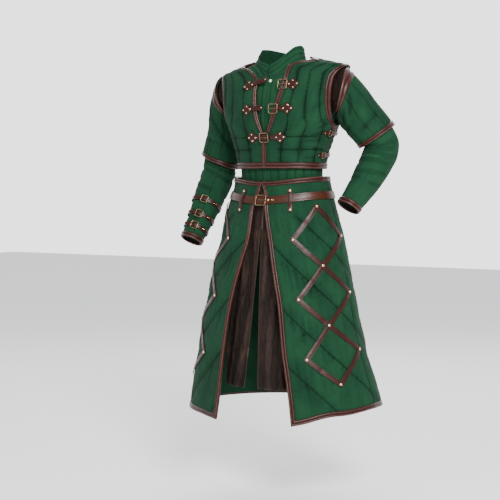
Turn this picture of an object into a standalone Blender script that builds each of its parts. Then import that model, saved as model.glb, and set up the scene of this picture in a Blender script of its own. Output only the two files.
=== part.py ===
"""Quilted gambeson worn open at the neck: under-jacket, cropped vest, half sleeves and split skirt.

Metres, +Z up. The origin is the middle of the shoulder line where the wearer carries the garment.
The garment faces -Y and the wearer's left is at +X. Heights are measured from the shoulder line, and
a turn is the angle in degrees round the body from centre front towards the wearer's left.
Every piece is a wall between two layers of points, so pieces that meet share points 0.3 mm apart.
"""
import math
from collections import namedtuple

import bpy
from mathutils import Vector

GAP = 0.0003            # space between pieces that touch
VEST_WALL = 0.0070      # padded and channel-quilted
JACKET_WALL = 0.0030    # two cloths with thin wadding
GUSSET_WALL = 0.0018
GUSSET_GAP = 0.0012     # from the jacket's sleeve to the gusset over it
HALF_SLEEVE_WALL = 0.0060
SKIRT_WALL = 0.0070
COLLAR_WALL = 0.0035
LEATHER = 0.0022        # bindings and straps
TAIL_WALL = 0.0022      # soft leather under the skirt
UNDER_VEST = -0.0135    # the jacket's face, measured from the vest's face
BINDING = 0.020         # width of the vest's and half sleeves' leather binding
SKIRT_BINDING = 0.017
CUFF_BINDING = 0.018
AROUND = 18             # points round an arm
ARMHOLE_STEPS = 9       # rows from armpit to shoulder tip
NECK_STEPS = 4          # rows from neck corner to shoulder seam

for old in list(bpy.data.objects):
    bpy.data.objects.remove(old)


# ---------------------------------------------------------------------------------------------
# Materials
# ---------------------------------------------------------------------------------------------

def material(name, colour, roughness, metallic=0.0):
    """A Principled material from a linear colour."""
    made = bpy.data.materials.new(name)
    made.use_nodes = True
    shader = made.node_tree.nodes["Principled BSDF"]
    shader.inputs["Base Color"].default_value = (*colour, 1.0)
    shader.inputs["Roughness"].default_value = roughness
    shader.inputs["Metallic"].default_value = metallic
    return made


CLOTH = material("green_cloth", (0.014, 0.080, 0.040), 0.90)
BOUND = material("brown_leather", (0.095, 0.042, 0.030), 0.50)
BELT_HIDE = material("belt_leather", (0.120, 0.045, 0.026), 0.45)
SUEDE = material("dark_suede", (0.045, 0.028, 0.020), 0.85)
BRONZE = material("antique_bronze", (0.300, 0.200, 0.110), 0.40, 1.0)
PEARL = material("pearl_button", (0.650, 0.640, 0.600), 0.30)


# ---------------------------------------------------------------------------------------------
# Forms: half width, front depth and back depth of the body's cross-section at each height
# ---------------------------------------------------------------------------------------------

Section = namedtuple("Section", "height side front back sway")
Fold = namedtuple("Fold", "turn width depth")

VEST_FORM = [
    Section(-0.450, 0.174, 0.125, 0.132, 0.000),
    Section(-0.380, 0.165, 0.121, 0.120, 0.000),
    Section(-0.315, 0.166, 0.122, 0.118, 0.000),
    Section(-0.266, 0.174, 0.126, 0.122, 0.001),
    Section(-0.197, 0.197, 0.140, 0.132, 0.006),
    Section(-0.140, 0.219, 0.146, 0.140, 0.005),
    Section(-0.067, 0.234, 0.142, 0.142, 0.008),
    Section(0.000, 0.245, 0.125, 0.128, 0.010),
    Section(0.020, 0.251, 0.112, 0.116, 0.012),
    Section(0.035, 0.253, 0.100, 0.106, 0.012),
    Section(0.050, 0.204, 0.090, 0.098, 0.010),
    Section(0.065, 0.155, 0.082, 0.090, 0.006),
    Section(0.080, 0.103, 0.076, 0.084, 0.000),
    Section(0.095, 0.060, 0.070, 0.078, 0.000),
]
SKIRT_FORM = [
    Section(-0.340, 0.181, 0.132, 0.130, 0.000),
    Section(-0.400, 0.192, 0.138, 0.136, 0.002),
    Section(-0.440, 0.204, 0.148, 0.150, 0.000),
    Section(-0.515, 0.223, 0.165, 0.172, 0.000),
    Section(-0.580, 0.236, 0.180, 0.190, 0.000),
    Section(-0.655, 0.252, 0.197, 0.207, -0.002),
    Section(-0.740, 0.271, 0.214, 0.222, -0.002),
    Section(-0.835, 0.288, 0.231, 0.238, -0.002),
    Section(-0.930, 0.307, 0.247, 0.252, 0.000),
    Section(-1.000, 0.322, 0.259, 0.263, 0.004),
    Section(-1.100, 0.345, 0.276, 0.280, 0.013),
    Section(-1.200, 0.367, 0.290, 0.294, 0.020),
]
TAIL_FORM = [
    Section(-0.350, 0.160, 0.1235, 0.120, 0.000),
    Section(-0.450, 0.176, 0.1330, 0.140, 0.000),
    Section(-0.600, 0.190, 0.1500, 0.160, 0.000),
    Section(-0.800, 0.205, 0.1650, 0.180, 0.000),
    Section(-1.100, 0.225, 0.1800, 0.200, 0.000),
]
COLLAR_FORM = [
    Section(0.010, 0.096, 0.098, 0.090, 0.000),
    Section(0.050, 0.091, 0.091, 0.080, 0.000),
    Section(0.090, 0.087, 0.085, 0.072, 0.000),
    Section(0.130, 0.082, 0.080, 0.066, 0.000),
]
# The skirt's soft flutes, strongest at the hem.
FLUTES = [
    Fold(22, 16, 0.006),
    Fold(58, 20, -0.009),
    Fold(96, 17, 0.010),
    Fold(128, 18, -0.009),
    Fold(158, 15, 0.008),
    Fold(190, 17, -0.008),
    Fold(222, 16, 0.010),
    Fold(256, 18, -0.007),
    Fold(292, 17, 0.009),
    Fold(322, 14, -0.006),
]
# The tails' long soft folds.
TAIL_FOLDS = [
    Fold(20, 7, 0.006),
    Fold(38, 8, -0.006),
    Fold(52, 6, 0.005),
    Fold(-13, 6, -0.005),
    Fold(-27, 7, 0.006),
    Fold(-45, 8, -0.006),
]
VEST_SQUARENESS = 2.3   # 2 is an ellipse, more is squarer
SHOULDER_LEAN = 0.040   # the left shoulder is raised by the hand on the hip: rise for each metre


def smooth(rows, height, column):
    """One column's value at a height, on a curve that never overshoots the table's rows."""
    rows = sorted(rows, key=lambda row: row.height)
    heights = [row.height for row in rows]
    values = [getattr(row, column) for row in rows]
    if height <= heights[0]:
        return values[0]
    if height >= heights[-1]:
        return values[-1]
    low = max(i for i in range(len(rows) - 1) if heights[i] <= height)

    def rise(i):
        return (values[i + 1] - values[i]) / (heights[i + 1] - heights[i])

    def slope(i):
        if i == 0:
            return rise(0)
        if i == len(rows) - 1:
            return rise(i - 1)
        before, after = rise(i - 1), rise(i)
        return 0.0 if before * after <= 0 else 2 * before * after / (before + after)

    step = heights[low + 1] - heights[low]
    s = (height - heights[low]) / step
    return ((2 * s ** 3 - 3 * s ** 2 + 1) * values[low]
            + (s ** 3 - 2 * s ** 2 + s) * step * slope(low)
            + (3 * s ** 2 - 2 * s ** 3) * values[low + 1]
            + (s ** 3 - s ** 2) * step * slope(low + 1))


def folded(folds, turn, height, top, bottom):
    """How far a form's folds push its surface out, growing from the top height to the bottom one."""
    grown = min(max((top - height) / (top - bottom), 0.0), 1.0)
    push = 0.0
    for fold in folds:
        away = (turn - fold.turn + 180.0) % 360.0 - 180.0
        push += fold.depth * math.exp(-(away / fold.width) ** 2)
    return push * grown


def surface(form, height, turn):
    """The point of a form's face at a height and a turn."""
    angle = math.radians(turn)
    side = smooth(form, height, "side")
    depth = smooth(form, height, "front" if math.cos(angle) >= 0 else "back")
    square = VEST_SQUARENESS if form is VEST_FORM else 2.0
    reach = (abs(math.sin(angle) / side) ** square + abs(math.cos(angle) / depth) ** square) ** (-1 / square)
    if form is SKIRT_FORM:
        reach += folded(FLUTES, turn, height, -0.50, -1.20)
    if form is TAIL_FORM:
        reach += folded(TAIL_FOLDS, turn, height, -0.45, -1.10)
    x = reach * math.sin(angle) + smooth(form, height, "sway")
    if form is VEST_FORM:
        share = min(max((height + 0.25) / 0.25, 0.0), 1.0)
        height += SHOULDER_LEAN * x * share
    return Vector((x, -reach * math.cos(angle), height))


def facing(form, height, turn):
    """The outward direction of a form's face."""
    across = surface(form, height, turn + 1.0) - surface(form, height, turn - 1.0)
    up = surface(form, height + 0.002, turn) - surface(form, height - 0.002, turn)
    return across.cross(up).normalized()


def moved(form, spot, out, shift=Vector()):
    """A form's point at a (height, turn) spot, moved out from the face and then shifted."""
    height, turn = spot
    return surface(form, height, turn) + facing(form, height, turn) * out + shift


# ---------------------------------------------------------------------------------------------
# Making solids
# ---------------------------------------------------------------------------------------------

def solid(name, points, faces, finish):
    """One named object from points and faces, with its faces turned outwards."""
    volume = 0.0
    for face in faces:
        for k in range(1, len(face) - 1):
            a, b, c = points[face[0]], points[face[k]], points[face[k + 1]]
            volume += a.dot(b.cross(c))
    if volume < 0:
        faces = [tuple(reversed(face)) for face in faces]
    mesh = bpy.data.meshes.new(name)
    mesh.from_pydata([tuple(p) for p in points], [], faces)
    mesh.materials.append(finish)
    mesh.shade_smooth()
    mesh.set_sharp_from_angle(angle=math.radians(40))
    made = bpy.data.objects.new(name, mesh)
    bpy.context.scene.collection.objects.link(made)
    return made


def slab(name, outer, inner, faces, finish):
    """A closed wall: outer and inner hold matching points, and faces (triangles) cover the outer."""
    used = sorted({i for face in faces for i in face})
    number = {i: k for k, i in enumerate(used)}
    count = len(used)
    points = [outer[i] for i in used] + [inner[i] for i in used]
    made = []
    edges = set()
    for face in faces:
        top = [number[i] for i in face]
        made.append(tuple(top))
        made.append(tuple(i + count for i in reversed(top)))
        edges.update(zip(top, top[1:] + top[:1]))
    for a, b in sorted(edges):
        if (b, a) not in edges:
            made.append((b, a, a + count))
            made.append((b, a + count, b + count))
    return solid(name, points, made, finish)


def cells(rows, columns, ring=False):
    """The triangles of a grid's cells, for ranges of rows and columns, keyed by cell."""
    width = len(columns) if ring else len(columns) + 1
    faces = {}
    for i in rows:
        for j in columns:
            a, b = i * width + j, i * width + (j + 1) % width
            c, d = b + width, a + width
            faces[i, j] = [(a, b, c), (a, c, d)]
    return faces


def grid_wall(name, outer, inner, finish, keep=None, ring=False):
    """A wall between two grids of points (lists of rows), over the cells that keep(i, j) accepts."""
    rows, columns = len(outer) - 1, len(outer[0]) - (0 if ring else 1)
    faces = []
    for cell, pair in cells(range(rows), range(columns), ring).items():
        if keep is None or keep(*cell):
            faces += pair
    return slab(name, sum(outer, []), sum(inner, []), faces, finish)


def layer(form, spots, out, shift=Vector()):
    """A grid of points from a grid of spots, moved out from the form."""
    return [[moved(form, spot, out, shift) for spot in row] for row in spots]


def strap(name, stations, thickness, finish):
    """A flat strap through stations of (point, outward direction, half width)."""
    rows = []
    last = len(stations) - 1
    for k, (point, out, half) in enumerate(stations):
        along = stations[min(k + 1, last)][0] - stations[max(k - 1, 0)][0]
        aside = out.cross(along).normalized() * half
        rows.append([point - aside, point + aside])
    top = [[p + out * thickness for p in row] for row, (_, out, _) in zip(rows, stations)]
    return grid_wall(name, top, rows, finish)


def rod_frame(name, corner, right, up, width, height, rod, finish):
    """A rectangular buckle frame with cut corners, of square rod, centred on a point."""
    out = right.cross(up).normalized()
    cut = rod * 1.5
    w, h = width / 2 - rod / 2, height / 2 - rod / 2
    outline = [(w, -h + cut), (w, h - cut), (w - cut, h), (-w + cut, h),
               (-w, h - cut), (-w, -h + cut), (-w + cut, -h), (w - cut, -h)]
    rows = []
    for x, y in outline:
        centre = corner + right * x + up * y
        away = (right * (x / w) + up * (y / h)).normalized()
        rows.append([centre + away * rod / 2 + out * rod / 2, centre - away * rod / 2 + out * rod / 2,
                     centre - away * rod / 2 - out * rod / 2, centre + away * rod / 2 - out * rod / 2])
    faces = []
    for i in range(len(rows)):
        for j in range(4):
            a, b = i * 4 + j, i * 4 + (j + 1) % 4
            c, d = (b + 4) % 32, (a + 4) % 32
            faces += [(a, b, c), (a, c, d)]
    return solid(name, sum(rows, []), faces, finish)


# ---------------------------------------------------------------------------------------------
# Panels: each row runs from an inner edge (centre front, neck) to an outer one (side, armhole)
# ---------------------------------------------------------------------------------------------

Edge = namedtuple("Edge", "height turn bind")

# Side seam from the hem, then the armhole from the armpit to the shoulder tip.
ARMHOLE = [
    Edge(-0.165, 90.0, BINDING),
    Edge(-0.152, 83.5, BINDING),
    Edge(-0.125, 79.0, BINDING),
    Edge(-0.095, 76.5, BINDING),
    Edge(-0.062, 75.3, BINDING),
    Edge(-0.030, 75.8, BINDING),
    Edge(-0.002, 77.5, BINDING),
    Edge(0.017, 80.5, BINDING),
    Edge(0.029, 85.0, BINDING),
    Edge(0.035, 90.0, BINDING),
]
# The jacket's armhole is smaller than the vest's, and ends further in along the shoulder.
JACKET_ARMHOLE = [
    Edge(-0.132, 90.0, BINDING),
    Edge(-0.125, 85.0, BINDING),
    Edge(-0.110, 80.5, BINDING),
    Edge(-0.088, 77.8, BINDING),
    Edge(-0.060, 76.5, BINDING),
    Edge(-0.032, 77.0, BINDING),
    Edge(-0.003, 79.2, BINDING),
    Edge(0.021, 83.5, BINDING),
    Edge(0.0375, 87.5, BINDING),
    Edge(0.0435, 90.0, BINDING),
]
BACK_SCOOP = 10.0       # degrees that the armhole is cut further in at the back
VEST_SIDE = [Edge(height, 90, BINDING) for height in (-0.315, -0.295, -0.255, -0.215, -0.185)] + ARMHOLE
# Front edges from the hem to the neck corner, then the neck to the shoulder seam. The two edges
# meet below the lowest buckle and fall open above it.
VEST_FRONT_LEFT = [
    Edge(-0.313, 0.3, 0.011),
    Edge(-0.293, 0.3, 0.011),
    Edge(-0.255, 0.3, 0.011),
    Edge(-0.215, 1.0, 0.011),
    Edge(-0.195, 5.0, 0.014),
    Edge(-0.168, 9.5, 0.018),
    Edge(-0.138, 13.8, BINDING),
    Edge(-0.108, 17.4, BINDING),
    Edge(-0.072, 21.4, BINDING),
    Edge(-0.036, 25.7, BINDING),
    Edge(-0.002, 30.0, BINDING),
    Edge(0.046, 38.0, BINDING),
    Edge(0.053, 55.0, BINDING),
    Edge(0.061, 72.0, BINDING),
    Edge(0.075, 90.0, BINDING),
]
VEST_FRONT_RIGHT = [
    Edge(-0.313, 0.3, 0.011),
    Edge(-0.293, 0.3, 0.011),
    Edge(-0.255, 0.3, 0.011),
    Edge(-0.215, 0.3, 0.011),
    Edge(-0.195, 0.6, 0.012),
    Edge(-0.172, 2.7, 0.017),
    Edge(-0.145, 6.2, BINDING),
    Edge(-0.112, 9.8, BINDING),
    Edge(-0.078, 12.3, BINDING),
    Edge(-0.042, 14.0, BINDING),
    Edge(-0.006, 15.0, BINDING),
    Edge(0.012, 23.0, BINDING),
    Edge(0.034, 40.0, BINDING),
    Edge(0.055, 62.0, BINDING),
    Edge(0.075, 90.0, BINDING),
]
JACKET_FRONT = [
    Edge(-0.450, 0.15, BINDING),
    Edge(-0.380, 0.15, BINDING),
    Edge(-0.315, 0.15, BINDING),
    Edge(-0.250, 0.15, BINDING),
    Edge(-0.200, 0.15, BINDING),
    Edge(-0.165, 0.15, BINDING),
    Edge(-0.130, 0.15, BINDING),
    Edge(-0.095, 0.15, BINDING),
    Edge(-0.055, 0.15, BINDING),
    Edge(-0.020, 0.15, BINDING),
    Edge(0.010, 1.5, BINDING),
    Edge(0.028, 20.0, BINDING),
    Edge(0.054, 39.0, BINDING),
    Edge(0.074, 60.0, BINDING),
    Edge(0.084, 90.0, BINDING),
]
JACKET_SIDE = [Edge(height, 90, BINDING) for height in (-0.450, -0.380, -0.315, -0.250, -0.190)]
JACKET_SIDE += JACKET_ARMHOLE

SKIRT_LEVELS = (-1.200, -1.183, -1.110, -1.030, -0.950, -0.870, -0.790, -0.710, -0.635, -0.565,
                -0.500, -0.450, -0.405, -0.362, -0.345)
SkirtEdge = namedtuple("SkirtEdge", "height left right")
SKIRT_EDGES = [
    SkirtEdge(-0.345, -1.8, 2.2),
    SkirtEdge(-0.362, -1.6, 2.6),
    SkirtEdge(-0.405, 5.0, 7.0),
    SkirtEdge(-0.450, 7.0, 10.5),
    SkirtEdge(-0.565, 16.0, 10.5),
    SkirtEdge(-0.675, 22.5, 16.3),
    SkirtEdge(-0.817, 28.7, 21.0),
    SkirtEdge(-0.970, 31.2, 22.6),
    SkirtEdge(-1.082, 32.8, 24.2),
    SkirtEdge(-1.200, 33.6, 26.8),
]
FRONT_DIP = 0.020       # the skirt's top edge is this much lower at centre front than at the side


def mix(a, b, share):
    return a + (b - a) * share


def front_spots(inner, outer, columns, side, dip=None):
    """Spots of a front panel. Its first and last columns are as wide as the edges' bindings."""
    spots = []
    for start, end in zip(inner, outer):
        ends = [(start.height, start.turn * side), (end.height, end.turn * side)]
        form = SKIRT_FORM if dip else VEST_FORM
        steps = [surface(form, mix(ends[0][0], ends[1][0], k / 8), mix(ends[0][1], ends[1][1], k / 8))
                 for k in range(9)]
        length = sum((b - a).length for a, b in zip(steps, steps[1:]))
        first, final = start.bind / length, 1 - end.bind / length
        shares = [0.0] + [mix(first, final, k / (columns - 2)) for k in range(columns - 1)] + [1.0]
        row = []
        for share in shares:
            height, turn = mix(ends[0][0], ends[1][0], share), mix(ends[0][1], ends[1][1], share)
            if dip:
                height -= dip(height, turn)
            row.append((height, turn))
        spots.append(row)
    return spots


def back_spots(side_edge, columns, neck_height, neck_columns, mid_drop):
    """Spots of a whole back: its top row is one shoulder seam, the back neck and the other seam."""
    spots = []
    tip = side_edge[-1]
    seam = (columns - neck_columns) // 2
    seam_length = (surface(VEST_FORM, tip.height, 90) - surface(VEST_FORM, neck_height, 90)).length
    armpit = len(side_edge) - 1 - ARMHOLE_STEPS
    for i, edge in enumerate(side_edge):
        share_up = max(0.0, (i - armpit) / ARMHOLE_STEPS) ** 2
        corner = 180 - edge.turn + BACK_SCOOP * math.sqrt((90 - edge.turn) / 17)
        half = surface(VEST_FORM, edge.height, corner).length * math.radians(180 - corner) * 2
        bind = edge.bind / half
        row = []
        for j in range(columns + 1):
            share = min(max(mix(bind, 1 - bind, (j - 1) / (columns - 2)), 0.0), 1.0)
            turn = mix(corner, 360 - corner, share)
            from_end = min(j, columns - j)
            if from_end <= seam:
                along = mix(edge.bind / seam_length, 1.0, (from_end - 1) / (seam - 1)) if from_end else 0.0
                top = (mix(tip.height, neck_height, along), 90.0 if j <= seam else 270.0)
            else:
                neck_share = (j - seam) / neck_columns
                top = (neck_height - mid_drop * math.sin(math.pi * neck_share), mix(90, 270, neck_share))
            level = (tip.height, mix(90, 270, share))
            row.append((edge.height + (top[0] - level[0]) * share_up, turn + (top[1] - level[1]) * share_up))
        spots.append(row)
    return spots


HemRise = namedtuple("HemRise", "turn rise")
# The hem rides up at the sides and the back, most at the left side.
HEM_RISE = [HemRise(0, 0.0), HemRise(30, 0.000), HemRise(63, 0.032), HemRise(90, 0.046),
            HemRise(130, 0.038), HemRise(180, 0.026), HemRise(230, 0.020), HemRise(270, 0.020),
            HemRise(310, 0.009), HemRise(335, 0.0), HemRise(360, 0.0)]


def skirt_drop(height, turn):
    """How far the skirt's level lines drop: the top edge at centre front, less the hem's rise."""
    near_top = min(max((height + 0.450) / 0.105, 0.0), 1.0)
    near_hem = min(max((-0.50 - height) / 0.70, 0.0), 1.0) ** 1.5
    turn %= 360
    low = max(k for k in range(len(HEM_RISE) - 1) if HEM_RISE[k].turn <= turn)
    share = (turn - HEM_RISE[low].turn) / (HEM_RISE[low + 1].turn - HEM_RISE[low].turn)
    rise = mix(HEM_RISE[low].rise, HEM_RISE[low + 1].rise, share * share * (3 - 2 * share))
    return FRONT_DIP * near_top * max(math.cos(math.radians(turn)), 0.0) ** 2 - rise * near_hem


FRONT_COLUMNS = 8
VEST_BACK_COLUMNS = 14
JACKET_BACK_COLUMNS = 12
SEAM_FRONT = Vector((0, -GAP / 2, 0))
SEAM_BACK = Vector((0, GAP / 2, 0))
SIDES = (("left", 1), ("right", -1))

vest = {"left": front_spots(VEST_FRONT_LEFT, VEST_SIDE, FRONT_COLUMNS, 1),
        "right": front_spots(VEST_FRONT_RIGHT, VEST_SIDE, FRONT_COLUMNS, -1),
        "back": back_spots(VEST_SIDE, VEST_BACK_COLUMNS, 0.075, 8, 0.010)}
jacket = {"left": front_spots(JACKET_FRONT, JACKET_SIDE, 5, 1),
          "right": front_spots(JACKET_FRONT, JACKET_SIDE, 5, -1),
          "back": back_spots(JACKET_SIDE, JACKET_BACK_COLUMNS, 0.084, 8, 0.002)}


def panel(name, spots, face, thickness, shift, finish=CLOTH, form=VEST_FORM):
    """A cloth panel whose face is this far out from the form."""
    return grid_wall(name, layer(form, spots, face, shift), layer(form, spots, face - thickness, shift),
                     finish)


def cover(name, spots, shift, keep, form=VEST_FORM, face=0.0, finish=BOUND):
    """Leather on the kept cells of a panel, made from the panel's own spots."""
    return grid_wall(name, layer(form, spots, face + GAP + LEATHER, shift),
                     layer(form, spots, face + GAP, shift), finish, keep)


# Under-jacket body.
for side_name, _ in SIDES:
    panel("jacket_front_" + side_name, jacket[side_name], UNDER_VEST, JACKET_WALL, SEAM_FRONT)
panel("jacket_back", jacket["back"], UNDER_VEST, JACKET_WALL, SEAM_BACK)

# Cropped vest, with its leather edges.
for side_name, _ in SIDES:
    panel("vest_front_" + side_name, vest[side_name], 0.0, VEST_WALL, SEAM_FRONT)
    cover("vest_binding_" + side_name, vest[side_name], SEAM_FRONT, lambda i, j: j == 0 or i == 0)
panel("vest_back", vest["back"], 0.0, VEST_WALL, SEAM_BACK)
cover("vest_binding_hem_back", vest["back"], SEAM_BACK, lambda i, j: i == 0)
NECK_START = (VEST_BACK_COLUMNS - 8) // 2
cover("vest_binding_neck_back", vest["back"], SEAM_BACK,
      lambda i, j: i == len(VEST_SIDE) - 2 and NECK_START <= j < VEST_BACK_COLUMNS - NECK_START)


def armhole_loop(front, back, side, out):
    """Points round an armhole, from the shoulder tip down the front and up the back."""
    top = len(front) - 1
    down = [moved(VEST_FORM, front[top - k][-1], out, SEAM_FRONT) for k in range(ARMHOLE_STEPS + 1)]
    back_column = 0 if side > 0 else -1
    rows = range(top - ARMHOLE_STEPS + 1, top)
    return down + [moved(VEST_FORM, back[i][back_column], out, SEAM_BACK) for i in rows]


def armhole_binding(side_name, side):
    """A leather ring on the outermost cells of the front and back panels."""
    low = len(VEST_SIDE) - 2 - ARMHOLE_STEPS
    back_columns = (0, 1) if side > 0 else (-2, -1)
    columns = ((-2, -1), SEAM_FRONT, vest[side_name]), (back_columns, SEAM_BACK, vest["back"])
    spots = [(row[j], shift) for pair, shift, rows in columns for row in rows[low:] for j in pair]
    count = len(VEST_SIDE) - low
    faces = []
    for part in (0, 2 * count):
        for i in range(count - 1):
            a = part + 2 * i
            faces += [(a, a + 1, a + 3), (a, a + 3, a + 2)]
    # Bridges over the side seam below the armpit, and over the shoulder seam.
    edge, inside = (0, 1) if side > 0 else (1, 0)
    f, b, last = 1, 2 * count + edge, 2 * (count - 1)
    under = [f, b, b + 2, f + 2]
    over = [last, last + 1, 2 * count + last + edge, 2 * count + last + inside]
    for a, c, d, e in (under, over):
        faces += [(a, c, d), (a, d, e)]
    if side < 0:
        half = 4 * (count - 1)
        faces = ([tuple(reversed(face)) for face in faces[:half // 2]] + faces[half // 2:half]
                 + [tuple(reversed(face)) for face in faces[half:]])
    layers = [[moved(VEST_FORM, spot, out, shift) for spot, shift in spots]
              for out in (GAP + LEATHER, GAP)]
    slab("armhole_binding_" + side_name, layers[0], layers[1], faces, BOUND)


for side_name, side in SIDES:
    armhole_binding(side_name, side)


# ---------------------------------------------------------------------------------------------
# Arms: rings from the armhole to the wrist. The left hand rests on the hip, the right hangs down.
# ---------------------------------------------------------------------------------------------

Ring = namedtuple("Ring", "x y z along_x along_y along_z sleeve half deep press bow")

# deep scales a ring from front to back, press scales its side against the body, and bow sets its
# front and back further down the arm.
ARMS = {
    "left": [
        Ring(0.249, -0.009, -0.053, 0.91, 0.33, -0.22, 0.0750, 0.0890, 0.80, 0.76, 0.006),
        Ring(0.268, 0.018, -0.090, 0.66, 0.45, -0.60, 0.0725, 0.0820, 0.885, 0.84, 0.004),
        Ring(0.290, 0.048, -0.130, 0.50, 0.42, -0.76, 0.0665, 0.0765, 1.00, 1.0, 0),
        Ring(0.314, 0.073, -0.166, 0.48, 0.40, -0.78, 0.0645, 0.0745, 1.00, 1.0, 0),
        Ring(0.336, 0.093, -0.201, 0.46, 0.34, -0.82, 0.0640, 0.0735, 1.00, 1.0, 0),
        Ring(0.348, 0.103, -0.230, 0.12, 0.06, -0.99, 0.0635, 0.0, 1.00, 1.0, 0),
        Ring(0.348, 0.098, -0.260, -0.12, -0.25, -0.96, 0.0620, 0.0, 1.00, 1.0, 0),
        Ring(0.340, 0.083, -0.292, -0.22, -0.42, -0.88, 0.0600, 0.0, 1.00, 1.0, 0),
        Ring(0.328, 0.060, -0.332, -0.27, -0.46, -0.85, 0.0570, 0.0, 1.00, 1.0, 0),
        Ring(0.315, 0.035, -0.372, -0.27, -0.48, -0.83, 0.0520, 0.0, 1.00, 1.0, 0),
        Ring(0.299, 0.008, -0.412, -0.28, -0.50, -0.82, 0.0460, 0.0, 1.00, 1.0, 0),
        Ring(0.282, -0.020, -0.452, -0.28, -0.50, -0.82, 0.0405, 0.0, 1.00, 1.0, 0),
    ],
    "right": [
        Ring(-0.233, 0.012, -0.058, -0.93, 0.16, -0.31, 0.0740, 0.0875, 0.77, 0.62, 0.002),
        Ring(-0.253, 0.038, -0.110, -0.57, 0.36, -0.74, 0.0710, 0.0815, 0.92, 0.50, 0),
        Ring(-0.272, 0.068, -0.155, -0.25, 0.33, -0.91, 0.0665, 0.0765, 1.00, 0.77, 0),
        Ring(-0.297, 0.082, -0.214, -0.22, 0.08, -0.97, 0.0645, 0.0750, 1.00, 1.0, 0),
        Ring(-0.319, 0.083, -0.285, -0.40, -0.02, -0.90, 0.0640, 0.0740, 1.00, 1.0, 0),
        Ring(-0.323, 0.080, -0.318, -0.22, -0.16, -0.96, 0.0635, 0.0, 1.00, 1.0, 0),
        Ring(-0.329, 0.069, -0.355, -0.15, -0.40, -0.90, 0.0630, 0.0, 1.00, 1.0, 0),
        Ring(-0.336, 0.050, -0.395, -0.15, -0.45, -0.88, 0.0610, 0.0, 1.00, 1.0, 0),
        Ring(-0.343, 0.028, -0.440, -0.15, -0.48, -0.86, 0.0560, 0.0, 1.00, 1.0, 0),
        Ring(-0.351, 0.003, -0.490, -0.15, -0.48, -0.86, 0.0500, 0.0, 1.00, 1.0, 0),
        Ring(-0.358, -0.022, -0.535, -0.15, -0.48, -0.86, 0.0455, 0.0, 1.00, 1.0, 0),
        Ring(-0.366, -0.047, -0.582, -0.16, -0.47, -0.87, 0.0405, 0.0, 1.00, 1.0, 0),
    ],
}
HALF_SLEEVE_END = 4     # the ring at the half sleeve's hem
FORWARD = {"left": Vector((0.45, -0.89, 0)), "right": Vector((-0.50, -0.86, 0))}


def arm_at(side_name, station):
    """Centre, direction, outward and forward axes and the ring's sizes at a station along an arm."""
    rings = ARMS[side_name]
    low = min(int(station), len(rings) - 2)
    share = station - low
    a, b = rings[low], rings[low + 1]
    values = [mix(p, q, share) for p, q in zip(a, b)]
    along = Vector(values[3:6]).normalized()
    forward = FORWARD[side_name]
    forward = (forward - along * forward.dot(along)).normalized()
    outward = forward.cross(along) * (1 if side_name == "left" else -1)
    return Vector(values[:3]), along, outward, forward, values[6:]


def arm_ring(side_name, station, lift):
    """Points round an arm, this far off the jacket's sleeve, from its outer side over its front."""
    centre, along, outward, forward, (radius, _, deep, press, bow) = arm_at(side_name, station)
    points = []
    for k in range(AROUND):
        angle = 2 * math.pi * k / AROUND
        out, fore = math.cos(angle), math.sin(angle)
        reach = radius * (1.0 if out > 0 else press)
        point = centre + outward * out * (reach + lift) + forward * fore * (radius * deep + lift)
        points.append(point + along * bow * fore ** 2)
    return points


def half_lift(side_name, station):
    """How far the half sleeve's face stands off the jacket's sleeve."""
    radius, half, *_ = arm_at(side_name, station)[4]
    return half - radius


SLEEVE_UNDER = UNDER_VEST - JACKET_WALL / 2
SLEEVE_INWARDS = 0.0028
GUSSET_UNDER = -VEST_WALL - 0.0021


def armhole_mouth(side_name, side, out, inwards):
    """The jacket's armhole loop, moved from its panels' edges towards the loop's centre."""
    loop = armhole_loop(jacket[side_name], jacket["back"], side, out)
    centre = sum(loop, Vector()) / len(loop)
    return [point + (centre - point).normalized() * inwards for point in loop]


def station_before(side_name, station, length):
    """The station that lies a length short of another one."""
    low = math.ceil(station) - 1
    a, b = arm_at(side_name, low)[0], arm_at(side_name, low + 1)[0]
    return station - length / (b - a).length


def tube(name, rings_out, rings_in, finish):
    return grid_wall(name, rings_out, rings_in, finish, ring=True)


def eased(rings):
    """The rings, with one more halfway between the armhole's mouth and the first arm ring."""
    half_way = [a.lerp(b, 0.5) for a, b in zip(rings[0], rings[1])]
    return [rings[0], half_way] + rings[1:]


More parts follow.
